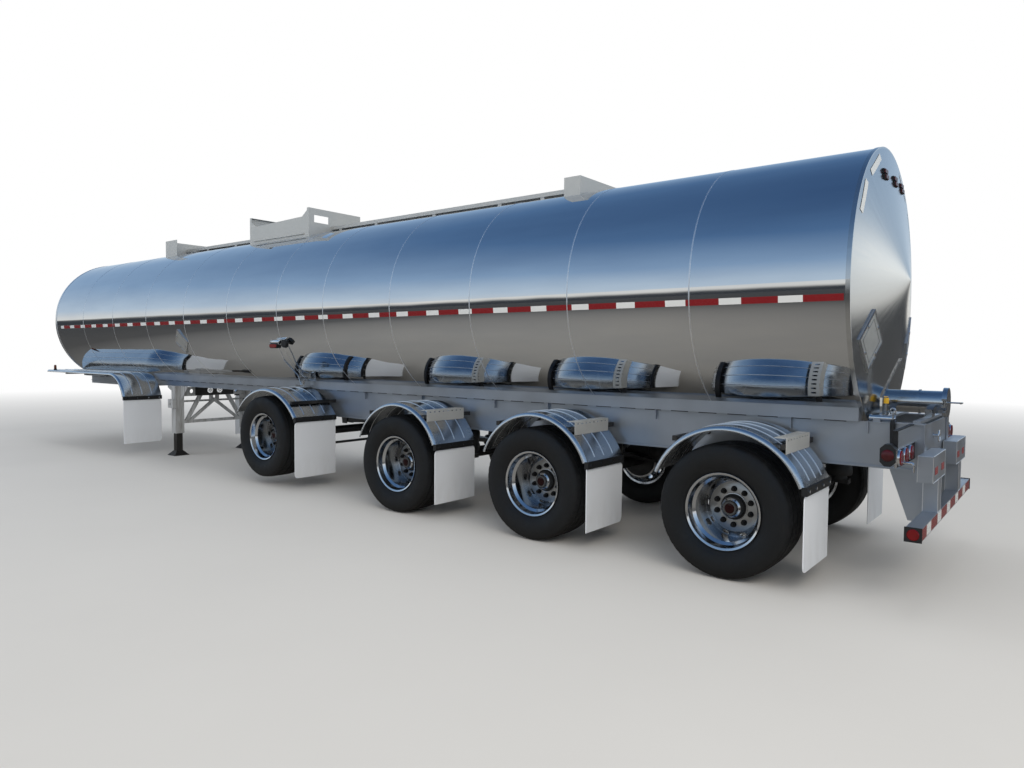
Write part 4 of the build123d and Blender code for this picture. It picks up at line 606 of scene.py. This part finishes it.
def wheel_trim(axle, height, side, body):
    """Ten nuts on their circle, each a flange, a hexagon and a stud; the machined face; the hub's ring with
    its small bolts, nearly black as painted shade of the bore; its cap and its sight glass."""
    hub = np.array((st(axle), 0.0, height))
    out = np.array((0.0, side, 0.0))
    nuts, ring = Batch(), Batch()
    for k in range(NUTS):
        a = (k + 0.5) / NUTS * 2 * np.pi
        spot = hub + (NUT_CIRCLE * math.cos(a), side * (DISC_OUT - 0.001), NUT_CIRCLE * math.sin(a))
        for rise, radius, tall, sides in NUT_PARTS:
            nuts.prism(spot + rise * out, out, radius, tall, sides)
    nuts.make("wheel_nuts_" + body, body, "running_gear", NUT, False)
    turned(hub, out, FACE, 96).make("disc_face_" + body, body, "wheel_metal", MACHINED)
    turned(hub, out, HUB_RING, 64, ring)
    for a in circle(HUB_BOLTS):
        spot = hub + (HUB_BOLT_CIRCLE * math.cos(a), side * (DISC_OUT + HUB_BOLT_RISE),
                      HUB_BOLT_CIRCLE * math.sin(a))
        ring.prism(spot, out, 0.0065, 0.008, 6)
    # The hub's ring is a real raised ring, but its near black stands in for the bore's shade: painted shade.
    ring.make("hub_ring_" + body, body, "running_gear", NUT)
    turned(hub, out, HUB_CAP, 64).make("hub_cap_" + body, body, "wheel_metal", CAST)
    turned(hub, out, SIGHT_GLASS, 48).make("sight_glass_" + body, body, "lamp_red", GLASS)


for number, axle, height in AXLES:
    for side, word in SIDES:
        wheel_trim(axle, height, side, f"wheel_{number}_{word}_set")


# Barrel: seams and the tape along both sides

SEAM = ((-0.007, TANK_R - 0.001), (-0.005, TANK_R + 0.0016), (0.005, TANK_R + 0.0016),
        (0.007, TANK_R - 0.001))
RIM_BAND = ((-0.004, TANK_R - 0.001), (0.0, TANK_R + 0.004), (0.028, TANK_R + 0.004),
            (0.032, TANK_R - 0.001))
TAPE_Z, TAPE_HALF, TAPE_PROUD, TAPE_BACK, TAPE_FRONT = 2.1355, 0.025, 0.0012, REAR_RIM + 0.010, 12.86
seams = Batch()
stations = [REAR_RIM + SHEET * k for k in range(1, 6)]
stations += [stations[-1] + SHORT_SHEET + SHEET * k for k in range(0, 6)]
for x in stations:
    seams.lathe((st(x), 0, TANK_Z), (1, 0, 0), SEAM, 160)
seams.lathe((st(FRONT_RIM), 0, TANK_Z), (1, 0, 0), RIM_BAND, 160)
seams.make("jacket_seams", "frame", "tank_steel", WELD_AND_HIGHLIGHT)

tape = retro_tape("red and white tape, lengthways", 0, st(TAPE_BACK))
strips = Batch()
low, high = (math.asin((TAPE_Z + rise - TANK_Z) / TANK_R) for rise in (-TAPE_HALF, TAPE_HALF))
turn = np.linspace(low, high, 4)
along = np.linspace(st(TAPE_BACK), st(TAPE_FRONT), 60)
for side in (1, -1):
    points = np.empty((len(along), len(turn), 3))
    points[..., 0] = along[:, None]
    points[..., 1] = side * (TANK_R + TAPE_PROUD) * np.cos(turn)
    points[..., 2] = TANK_Z + (TANK_R + TAPE_PROUD) * np.sin(turn)
    strips.grid(points, flip=side < 0)
strips.make("side_tape", "frame", "placard", tape)


# Rear cone: identification lamps and white tape

CORNER_ENDS = (((0.370, 3.262), (0.660, 3.083)), ((0.775, 3.005), (0.930, 2.755)))
CORNER_HALF, CORNER_PROUD = 0.026, 0.0026
white = plain_tape("white tape", "dfe1df")
corner = Batch()
for side in (1, -1):
    for (y0, z0), (y1, z1) in CORNER_ENDS:
        along = np.array((y1 - y0, z1 - z0))
        along /= np.linalg.norm(along)
        across = np.array((-along[1], along[0])) * CORNER_HALF
        ends = np.array([(y0, z0), (y1, z1)])
        y = np.stack([ends[:, 0] - across[0], ends[:, 0] + across[0]], -1)
        z = np.stack([ends[:, 1] - across[1], ends[:, 1] + across[1]], -1)
        y = y[0] + (y[1] - y[0]) * np.linspace(0, 1, 10)[:, None]
        z = z[0] + (z[1] - z[0]) * np.linspace(0, 1, 10)[:, None]
        points = np.stack([cone_x(y, z) - CORNER_PROUD, side * y, z], -1)
        corner.grid(points, flip=side > 0)
corner.make("corner_tape", "frame", "placard", white)

ID_LAMPS_Y, ID_LAMPS_Z = (0.31, 0.0, -0.31), (3.154, 3.111)
marks, mounts = Batch(), Batch()
for y in ID_LAMPS_Y:
    for z in ID_LAMPS_Z:
        x = float(cone_x(np.array(y), np.array(z)))
        mounts.box((x - 0.008, y - 0.054, z - 0.018), (x + 0.010, y + 0.054, z + 0.018))
        marks.box((x - 0.018, y - 0.047, z - 0.014), (x - 0.008, y + 0.047, z + 0.014))
mounts.make("id_lamp_mounts", "frame", "black_rubber", RUBBER, False)
marks.make("id_lamp_lenses", "frame", "lamp_red", DEEP, False)


# Bumper: tape, lamp ends and reflectors on the boxes

END_LAMP = (-1.297, 1.262, 0.552)
SPOTS_Y, SPOT_HALF, SPOT_LOW, SPOT_HIGH = (0.715, 0.425), 0.055, 0.890, 0.942
bar = Batch()
bar.box((st(BOX_REAR - 0.0015), -BUMPER_HALF, 0.515), (st(BOX_REAR), BUMPER_HALF, 0.589))
bar.make("bumper_tape", "frame", "placard",
         retro_tape("red and white tape, crossways", 1, -BUMPER_HALF), False)
caps, caplens = Batch(), Batch()
for side in (1, -1):
    caps.box((st(-1.350), side * 1.252, 0.503), (st(-1.244), side * END_LAMP[1], 0.601))
    caplens.prism((st(END_LAMP[0]), side * END_LAMP[1], END_LAMP[2]), (0, side, 0), 0.038, 0.007, 28, 0.86)
caps.make("bumper_end_caps", "frame", "black_rubber", RUBBER, False)
caplens.make("bumper_end_lamps", "frame", "lamp_red", LENS)
spots = Batch()
for side in (1, -1):
    for y in SPOTS_Y:
        spots.box((st(BOX_REAR - 0.0025), side * (y - SPOT_HALF), SPOT_LOW),
                  (st(BOX_REAR), side * (y + SPOT_HALF), SPOT_HIGH))
spots.make("box_reflectors", "frame", "lamp_red", plain_tape("red tape", "8c1118"), False)


# Fenders and front guards: rolled sheets with three raised ribs, and the guards' arms

def rolled_sheet(batch, path, normal, side, inner):
    """Sweeps one closed profile along a path in the XZ plane: flat from the inner edge, a quarter round of
    radius ROLL over the outer edge, a short drop, and the same again inside, THIN lower."""
    q = np.linspace(0, np.pi / 2, 8)[:, None]
    centre = np.array((FENDER_OUT - ROLL, -ROLL))
    over = centre + ROLL * np.hstack([np.sin(q), np.cos(q)])
    under = centre + (ROLL - THIN) * np.hstack([np.sin(q), np.cos(q)])
    drop = [(FENDER_OUT, -DROP), (FENDER_OUT - THIN, -DROP)]
    profile = np.vstack([[(inner, 0.0)], over, drop, under[::-1], [(inner, -THIN)]])
    points = np.empty((len(path), len(profile), 3))
    points[..., 0] = path[:, :1] + normal[:, :1] * profile[None, :, 1]
    points[..., 1] = side * profile[None, :, 0]
    points[..., 2] = path[:, 1:] + normal[:, 1:] * profile[None, :, 1]
    batch.grid(points, wrap_cols=True)
    for end in (points[0], points[-1]):
        batch.put(end, [list(range(len(profile)))])


def rib_lines(batch, path, side, inner):
    """Three raised ribs along a sheet, a quarter, a half and three quarters of the way across."""
    for share in (0.25, 0.5, 0.75):
        y = np.full(len(path), side * (FENDER_OUT - (FENDER_OUT - inner) * share))
        batch.tube(np.stack([path[:, 0], y, path[:, 1]], -1), RIB_R, 8)


fenders, guards, ribs = Batch(), Batch(), Batch()
for side in (1, -1):
    for centre, height, radius, foot in FIXED_FENDERS + [STEER_FENDER]:
        low = math.asin((foot - height) / radius)
        turn = np.linspace(low, math.pi - low, 48)
        normal = np.stack([np.cos(turn), np.sin(turn)], -1)
        path = np.array((st(centre), height)) + radius * normal
        rolled_sheet(fenders, path, normal, side, FENDER_OUT - FENDER_WIDE)
        rib_lines(ribs, path[1:-1], side, FENDER_OUT - FENDER_WIDE)
    swing = np.linspace(0, math.acos(1 - GUARD_DROP / QUARTER_R), 24)
    normal = np.stack([-np.sin(swing), np.cos(swing)], -1)
    path = np.array((st(DECK_BACK), DECK_Z - QUARTER_R)) + QUARTER_R * normal
    path = np.vstack([[(st(DECK_FRONT), DECK_Z)], path])
    normal = np.vstack([[(0.0, 1.0)], normal])
    rolled_sheet(guards, path, normal, side, DECK_IN)
    rib_lines(ribs, path[:-1], side, DECK_IN)
    for arm in GUARD_ARMS:
        x = st(arm)
        guards.box((x, side * ARM_IN, DECK_Z - ARM_FOOT), (x + ARM_WIDE, side * DECK_IN, DECK_Z - ARM_TOP))
        guards.box((x, side * DECK_IN, DECK_Z - ARM_FOOT),
                   (x + ARM_WIDE, side * (FENDER_OUT - ROLL - 0.002), DECK_Z - THIN))
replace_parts(fenders.make("rolled_fenders", "frame", "fender_metal", FENDER, outward=True),
            "wheel_fenders")
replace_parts(guards.make("rolled_guards", "frame", SLOT_OF["front_guards"], FENDER, outward=True),
            "front_guards")
# The ribs are pressings of the fender sheet itself; their pale finish is a painted highlight.
ribs.make("fender_ribs", "frame", "fender_metal", WELD_AND_HIGHLIGHT)

GUARD_LAMP_X, GUARD_LAMP_Y = 12.850, 1.240
markers, domes = Batch(), Batch()
for side in (1, -1):
    spot = (st(GUARD_LAMP_X), side * GUARD_LAMP_Y, DECK_Z)
    markers.lathe(spot, (0, 0, 1), [(0.0, 0.026), (0.016, 0.026), (0.018, 0.022), (0.024, 0.021)], 24)
    domes.lathe(spot, (0, 0, 1),
                [(0.024, 0.021), (0.074, 0.021), (0.084, 0.017), (0.090, 0.009), (0.091, 0.0)], 24)
markers.make("guard_lamp_bases", "frame", "black_rubber", RUBBER)
# The amber lenses are darkened to brown as painted shade.
domes.make("guard_lamp_lenses", "frame", "lamp_red", enamel("amber lens with painted shade", "4a2006", "6e3410"))


# Bolts through the flap hangers

BOLT_SHARES, BOLT_BACK, BOLT_DOWN = (0.08, 0.36, 0.64, 0.92), 0.020, 0.031
bolts = Batch()
feet = [(c - math.sqrt(r * r - (f - h) ** 2), f) for c, h, r, f in FIXED_FENDERS + [STEER_FENDER]]
feet.append((DECK_BACK - math.sqrt(QUARTER_R ** 2 - (QUARTER_R - GUARD_DROP) ** 2), DECK_Z - GUARD_DROP))
for station, top in feet:
    for side in (1, -1):
        for share in BOLT_SHARES:
            spot = (st(station) - BOLT_BACK, side * (FENDER_OUT - FENDER_WIDE * share), top - BOLT_DOWN)
            bolts.prism(spot, (-1, 0, 0), 0.011, 0.007, 6)
bolts.make("hanger_bolts", "frame", "running_gear", TRIM, False)


# Blank placards: a raised border, a faint inner border and four clips on each

def diamond(batch, origin, u, v, n, outer, inner, tall):
    """A square ring standing on one corner: half diagonals outer and inner in the plane of u and v, tall
    along n."""
    corners = np.array([u, v, -u, -v])
    rings = np.stack([origin + outer * corners, origin + outer * corners + tall * n,
                      origin + inner * corners + tall * n, origin + inner * corners], 1)
    batch.grid(rings, wrap_rows=True, wrap_cols=True)


# Half diagonal, distance from the tank's axis, degrees down from the side, station, and the cone's slope
SLOPE = math.atan2(CONE_DEPTH, TANK_R - CONE_TIP_R)
PLACARDS = ((0.235, 0.823, 31, -0.8974, SLOPE), (0.195, 1.136, 21, 8.550, None))
borders, clips = Batch(), Batch()
for side in (1, -1):
    for half, reach, turn, x, lean in PLACARDS:
        turn = math.radians(turn)
        around = np.array((0.0, side * math.cos(turn), -math.sin(turn)))
        origin = np.array((st(x), 0.0, TANK_Z)) + reach * around
        n = around if lean is None else np.array((-math.cos(lean), 0, 0)) + math.sin(lean) * around
        u = np.array((1.0, 0, 0)) if lean is None else np.array((0, 1.0, 0))
        u = u - (u @ n) * n
        u /= np.linalg.norm(u)
        v = np.cross(n, u)
        diamond(borders, origin, u, v, n, half, half - 0.024, 0.0035)
        diamond(borders, origin, u, v, n, half * 0.70, half * 0.70 - 0.007, 0.0012)
        for a, b in ((1, 1), (1, -1), (-1, 1), (-1, -1)):
            clips.prism(origin + half * 0.41 * (a * u + b * v), n, 0.016, 0.0065, 4, 0.8)
borders.make("placard_borders", "frame", "placard", TRIM, False, True)
clips.make("placard_clips", "frame", "placard", TRIM, False)


# Side lamps half way along: a chromed hood over an oval lens in a black frame, and a rubber block behind it

HOOD, BLOCK = (5.955, 1.105, 1.836), (5.874, 1.070, 1.818)
OVAL_X, OVAL_Z, OVAL_STEPS = 6.045, 1.790, 28
hoods, surrounds, lenses = Batch(), Batch(), Batch()
OVALS = ((surrounds, 0.031, 0.086, 1.085, 1.150), (lenses, 0.022, 0.074, 1.150, 1.157))
for side in (1, -1):
    hoods.lathe((st(HOOD[0]), side * HOOD[1], HOOD[2]), (1, 0, 0),
                [(0.0, 0.0), (0.0, 0.030), (0.004, 0.036), (0.172, 0.036), (0.180, 0.030), (0.180, 0.0)], 32)
    surrounds.prism((st(BLOCK[0]), side * BLOCK[1], BLOCK[2]), (0, side, 0), 0.054, 0.044, 8, 0.94, 0.2)
    for batch, tall, wide, near, far in OVALS:
        t = circle(OVAL_STEPS)
        oval = np.stack([wide * np.sign(np.cos(t)) * np.abs(np.cos(t)) ** 0.5,
                         tall * np.sign(np.sin(t)) * np.abs(np.sin(t)) ** 0.8], -1)
        rings = np.array([[(st(OVAL_X) + x, side * y, OVAL_Z + z) for x, z in oval] for y in (near, far)])
        ends = [list(range(OVAL_STEPS)), list(range(OVAL_STEPS, 2 * OVAL_STEPS))]
        batch.put(rings, grid_faces(2, OVAL_STEPS, wrap_cols=True) + ends)
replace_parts(hoods.make("side_lamp_hoods", "frame", "lamp_red", TRIM, outward=True), "side_lamps")
surrounds.make("side_lamp_surrounds", "frame", "black_rubber", RUBBER, outward=True)
lenses.make("side_lamp_lenses", "frame", "lamp_red", LENS, outward=True)


# Tail lamps: bezels, deep red domes on the side lamps, a hook under each carrier and its steel edge

BEZEL = ((0.0, 0.0502), (0.012, 0.0502), (0.014, 0.052), (0.011, 0.0545), (0.0, 0.055))
HOOK_Y, HOOK_TOP, HOOK_BEND = 1.075, 0.998, 0.016
bezels, hooks, deep = Batch(), Batch(), Batch()
for side in (1, -1):
    for y in LAMPS_Y:
        bezels.lathe((st(CARRIER_BACK), side * y, LAMPS_Z), (-1, 0, 0), BEZEL, 40)
    bend = np.linspace(0, np.pi / 2, 6)
    hook = np.stack([st(-1.244) - HOOK_BEND * np.sin(bend), np.full(6, side * HOOK_Y),
                     0.982 + HOOK_BEND * np.cos(bend)], -1)
    hooks.tube(np.vstack([[(st(CARRIER_BACK), side * HOOK_Y, HOOK_TOP)], hook,
                          [(st(-1.260), side * HOOK_Y, 0.936)]]), 0.0085, 12)
    hooks.box((st(-1.185), side * 1.224, 0.978), (st(-1.170), side * 1.228, 1.096))
    hooks.box((st(-1.185), side * 0.600, 1.094), (st(-1.170), side * 1.228, 1.098))
    r = np.linspace(0.040, 0.0, 9)
    dome = np.stack([1.2462 + 0.4 * np.sqrt(0.0016 - r * r), r], -1)
    deep.lathe((st(-1.129), 0.0, 1.058), (0, side, 0), dome, 36)
bezels.make("tail_lamp_bezels", "frame", "wheel_metal", TRIM)
hooks.make("lamp_carrier_trim", "frame", "wheel_metal", TRIM)
deep.make("side_lens_domes", "frame", "lamp_red", DEEP)


# Rear fittings: a hand wheel on the end plate, an actuator on the left rail, the valve's yellow cap, a label

KNOB = ((0.0, 0.020), (0.006, 0.020), (0.008, 0.010), (0.046, 0.010), (0.048, 0.0))
WHEEL_OUT, WHEEL_RIM_R, WHEEL_RIM = 0.040, 0.042, 0.005
CYLINDER = ((0.0, 0.0), (0.0, 0.026), (0.014, 0.026), (0.015, 0.022), (0.170, 0.022), (0.171, 0.026),
            (0.185, 0.026), (0.185, 0.0))
VALVE_CAP = ((0.0, 0.0268), (0.042, 0.0268), (0.052, 0.022), (0.056, 0.010), (0.056, 0.0))
wheel, actuator, yellow, label = Batch(), Batch(), Batch(), Batch()
hub = np.array((st(-1.2385), 0.140, 1.110))
wheel.lathe(hub, (-1, 0, 0), KNOB, 24)
t = circle(8)
rim = np.stack([WHEEL_OUT + WHEEL_RIM * np.cos(t), WHEEL_RIM_R + WHEEL_RIM * np.sin(t)], -1)
wheel.lathe(hub, (-1, 0, 0), rim, 40, True)
for k in range(4):
    spoke = np.array((0.0, math.cos(k * math.pi / 2 + 0.4), math.sin(k * math.pi / 2 + 0.4)))
    wheel.tube([hub + (-WHEEL_OUT, 0, 0) + reach * spoke for reach in (0.008, 0.041)], 0.0035, 8)
wheel.make("rear_hand_wheel", "frame", "end_steel", TRIM)
actuator.lathe((st(-1.050), 0.535, 1.252), (1, 0, 0), CYLINDER, 32)
actuator.tube([(st(-1.000), 0.535, 1.274), (st(-1.000), 0.535, 1.292), (st(-0.985), 0.500, 1.300),
               (st(-0.930), 0.430, 1.290)], 0.004, 8)
actuator.make("valve_actuator", "frame", "end_steel", TRIM)
yellow.lathe((st(-0.920), 0.280, 1.350), (0, 0, 1), VALVE_CAP, 32)
yellow.make("valve_cap", "frame", "end_steel", enamel("yellow valve cap", "c89a10", "e0b223"))
label.box((st(-0.9285), 0.4282, 1.335), (st(-0.911), 0.4292, 1.400))
label.make("blank_label", "frame", "end_steel", enamel("blank white label", "d9dad6", "eeeeea"), False)


# Thin bright rods along the bumper boxes' edges, painted highlights of their rounded edges, and the valve
# lever's rubber grip on a ring beside the left rail

BOXES = ((0.309, 0.857, 0.840, 1.026), (0.470, 0.610, 0.596, 0.840))
LEVER_X, LEVER_Y, RING_Z, RING_R = -1.040, 0.616, 1.318, 0.018
edge_glints, grip, ring = Batch(), Batch(), Batch()
for side in (1, -1):
    for near, far, low, high in BOXES:
        for y in (near, far):
            for x in (BOX_REAR, BOX_FRONT):
                edge_glints.tube([(st(x), side * y, low), (st(x), side * y, high)], EDGE_GLINT_R, 6)
            edge_glints.tube([(st(BOX_REAR), side * y, high), (st(BOX_FRONT), side * y, high)], EDGE_GLINT_R, 6)
        for z in (low, high):
            edge_glints.tube([(st(BOX_REAR), side * near, z), (st(BOX_REAR), side * far, z)], EDGE_GLINT_R, 6)
edge_glints.make("box_edge_glints", "frame", "frame_steel", WELD_AND_HIGHLIGHT)
t = circle(24)
loop = np.stack([st(LEVER_X) + RING_R * np.cos(t), np.full(24, LEVER_Y), RING_Z + RING_R * np.sin(t)], -1)
ring.tube(loop, 0.005, 10, True)
ring.tube([(st(LEVER_X), LEVER_Y, 1.302), (st(LEVER_X), LEVER_Y, 1.238)], 0.006, 10)
ring.tube([(st(LEVER_X), 0.535, 1.272), (st(LEVER_X), 0.535, 1.308), (st(LEVER_X), 0.545, RING_Z),
           (st(LEVER_X), 0.628, RING_Z)], 0.006, 10)
grip.prism((st(LEVER_X), LEVER_Y, 1.250), (0, 0, -1), 0.0125, 0.030, 12, 1.5)
grip.prism((st(LEVER_X), LEVER_Y, 1.220), (0, 0, -1), 0.0188, 0.150, 12, 0.85)
grip.make("lever_grip", "frame", "black_rubber", RUBBER)
ring.make("lever_ring", "frame", "end_steel", TRIM)


# Landing gear: a thin black sheet over the middle of the brace's top panel, and two round white reflectors,
# each crossed by dark ribs

DISC = ((0.0, 0.047), (0.004, 0.047), (0.007, 0.044), (0.008, 0.040), (0.008, 0.0))
CROSS = (((0, 0.7071, 0.7071), (0, -0.7071, 0.7071)), ((0, -0.7071, 0.7071), (0, 0.7071, 0.7071)))
discs, ribbing, panels = Batch(), Batch(), Batch()
panels.box((st(9.4935), -0.345, 0.970), (st(9.495), 0.345, 1.112))
for side in (1, -1):
    spot = np.array((st(9.487), side * 0.085, 1.054))
    discs.lathe(spot, (-1, 0, 0), DISC, 40)
    for place in (-0.020, 0.0, 0.020):
        reach = 0.9 * math.sqrt(0.044 ** 2 - place ** 2)
        for u, v in CROSS:
            middle = spot + (-0.008, 0, 0) + place * np.array(v)
            ribbing.tube([middle - reach * np.array(u), middle + reach * np.array(u)], 0.0028, 6)
panels.make("brace_panel", "frame", "running_gear", FINISH["running_gear"], False)
# The white reflectors glow by themselves: a painted glow, as they are no lamp.
discs.make("brace_reflectors", "frame", "leg_paint", enamel("white reflector", "d8dcde", "f2f4f5", 0.45))
ribbing.make("reflector_ribs", "frame", "running_gear", NUT)


# Frame: thin black strips in the gaps between the stitch welds under each pad, painted shade where the pad
# stands proud of the web

GAP_PITCH, GAP_LONG = 0.262, 0.165
gap_shade = Batch()
for side in (1, -1):
    for x in np.arange(REAR_RIM + 0.10, FRONT_RIM - 0.2, GAP_PITCH):
        gap_shade.box((st(x), side * 0.5795, 1.213), (st(x) + GAP_LONG, side * 0.5808, 1.2215))
gap_shade.make("stitch_gap_shade", "frame", "running_gear", FINISH["running_gear"], False)


# Air springs: bellows between a piston and a top plate

# A seat's height is half the beam's height and the seat on it.
STEER_SEAT, FIXED_SEAT, STEER_SPRING_R, FIXED_SPRING_R = 0.054 + 0.040, 0.064 + 0.008, 0.092, 0.115
SPRING_Y, SPRING_TOP, SPRING_BEHIND, SPRING_GAP = 0.505, 0.878, 0.400, 0.0003
springs = Batch()
for number, axle, height in AXLES:
    steered = number == "1"
    seat = height + SPRING_GAP + (STEER_SEAT if steered else FIXED_SEAT)
    station = axle - (0.0 if steered else SPRING_BEHIND)
    r = STEER_SPRING_R if steered else FIXED_SPRING_R
    s = np.linspace(0, 1, 30)
    waist = r - 0.014 * np.abs(np.cos(s * 2 * np.pi)) ** 3
    waist[:3] = r * 0.62
    waist[-2:] = r * 0.80
    heights = np.concatenate([[0.0, 0.12, 0.125], np.linspace(0.13, 0.95, 25), [0.955, 1.0]])
    profile = np.stack([heights * (SPRING_TOP - seat), waist], -1)
    for side in (1, -1):
        springs.lathe((st(station), side * SPRING_Y, seat), (0, 0, 1), profile, 40)
bellows = springs.make("air_spring_bellows", "frame", "black_rubber", RUBBER)
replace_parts(bellows, "air_springs")


# Studio: pale floor, soft light and the photo's camera

GLOW_FROM, GLOW_TIGHT, GLOW = (-0.475, -0.869, 0.141), 500.0, 0.9
SKY = [(0.0, "3f4246"), (0.012, "4a4d51"), (0.03, "f4f1ea"), (0.14, "c9daea"), (0.38, "93b0d0"),
       (0.72, "5779a3"), (1.0, "3e5c85")]
LENS_MM, CAMERA_AT, CAMERA_TURNS = 25.53, (-2.139 - MID, 6.588, 1.725), (51.812, 2.464, 0.443)


def studio_floor():
    """Pale matt floor that fades to the white backdrop far off. Mirrors see its far part darker, as a
    skyline."""
    m, t, s, where = new_material("pale studio floor")
    far = add(t, "VectorMath", {"operation": "LENGTH"}, i0=where).outputs["Value"]
    path = add(t, "LightPath").outputs
    pale = mix(t, noise(t, where, 0.6, 4.0), lin("d3d2cf"), lin("dad9d6"))
    mirrored = mix(t, ramp(t, far, 0.0, 1.0, 4.0, 13.0), lin("a39f98"), lin("5f5c58"))
    t.links.new(mix(t, path["Is Glossy Ray"], pale, mirrored), s.inputs["Base Color"])
    s.inputs["Roughness"].default_value = 0.9
    s.inputs["Specular IOR Level"].default_value = 0.1
    white = add(t, "Emission", Color=lin("ffffff"), Strength=1.0).outputs[0]
    fade = calc(t, "MULTIPLY", path["Is Camera Ray"], ramp(t, far, 0.0, 1.0, 10.0, 26.0))
    both = add(t, "MixShader", i0=fade, i1=s.outputs[0], i2=white)
    t.links.new(both.outputs[0], t.nodes["Material Output"].inputs["Surface"])
    return m


def backdrop(tree, colour, strength):
    """One light of the world; its colour and strength are values or links."""
    return add(tree, "Background", Color=colour, Strength=strength).outputs[0]


def studio_world():
    """White to the camera, an even dome to matt surfaces, and to mirrors a clear sky with a low warm glow."""
    world = bpy.data.worlds.new("studio")
    bpy.context.scene.world = world
    world.use_nodes = True
    t = world.node_tree
    for node in list(t.nodes):
        t.nodes.remove(node)
    where = add(t, "TexCoord").outputs["Generated"]
    sky = add(t, "ValToRGB", Fac=axes(t, where)[2])
    while len(sky.color_ramp.elements) < len(SKY):
        sky.color_ramp.elements.new(0.5)
    for element, (place, code) in zip(sky.color_ramp.elements, SKY):
        element.position = place
        element.color = lin(code)
    toward = add(t, "VectorMath", {"operation": "DOT_PRODUCT"}, i0=where, i1=GLOW_FROM).outputs["Value"]
    glow = calc(t, "MULTIPLY", calc(t, "POWER", calc(t, "MAXIMUM", toward, 0.0), GLOW_TIGHT), GLOW)
    mirrored = add(t, "AddShader", i0=backdrop(t, sky.outputs[0], 1.0), i1=backdrop(t, lin("fff0d6"), glow))
    path = add(t, "LightPath").outputs
    inner = add(t, "MixShader", i0=path["Is Glossy Ray"], i1=backdrop(t, lin("eef1f5"), 0.72),
                i2=mirrored.outputs[0])
    outer = add(t, "MixShader", i0=path["Is Camera Ray"], i1=inner.outputs[0],
                i2=backdrop(t, lin("ffffff"), 1.0))
    add(t, "OutputWorld", Surface=outer.outputs[0])


def panel(name, place, target, size, power, colour):
    """A soft rectangular light that faces its target and doesn't show in mirrors."""
    data = bpy.data.lights.new(name, "AREA")
    data.shape = "RECTANGLE"
    data.size, data.size_y = size
    data.energy = power
    data.color = lin(colour)[:3]
    lamp = bpy.data.objects.new(name, data)
    lamp.location = place
    lamp.rotation_euler = (Vector(target) - Vector(place)).to_track_quat("-Z", "Y").to_euler()
    lamp.visible_glossy = False
    bpy.context.scene.collection.objects.link(lamp)


floor_mesh = bpy.data.meshes.new("floor")
floor_mesh.from_pydata([(-90, -90, 0), (90, -90, 0), (90, 90, 0), (-90, 90, 0)], [], [[0, 1, 2, 3]])
floor = bpy.data.objects.new("floor", floor_mesh)
bpy.context.scene.collection.objects.link(floor)
floor_mesh.materials.append(studio_floor())
studio_world()
panel("key", (-13.0, 8.0, 9.0), (-2.0, 0.0, 1.5), (9.0, 5.0), 620, "fff6ea")
panel("fill", (8.0, 13.0, 6.0), (2.0, 0.0, 1.5), (12.0, 5.0), 330, "eef3ff")
panel("over", (0.0, 0.0, 14.0), (0.0, 0.0, 0.0), (18.0, 4.0), 330, "ffffff")

camera = bpy.data.cameras.new("camera")
camera.sensor_width = 36.0
camera.lens = LENS_MM
camera.clip_end = 300.0
view = bpy.data.objects.new("camera", camera)
bpy.context.scene.collection.objects.link(view)
yaw, tilt, roll = (math.radians(v) for v in CAMERA_TURNS)
look = Vector((math.cos(tilt) * math.cos(yaw), -math.cos(tilt) * math.sin(yaw), -math.sin(tilt)))
right = Vector((-math.sin(yaw), -math.cos(yaw), 0.0))
over = right.cross(look)
right, over = (math.cos(roll) * right + math.sin(roll) * over,
               -math.sin(roll) * right + math.cos(roll) * over)
view.matrix_world = Matrix.Translation(CAMERA_AT) @ Matrix((right, over, -look)).transposed().to_4x4()
bpy.context.scene.camera = view
bpy.context.scene.view_settings.view_transform = "Standard"
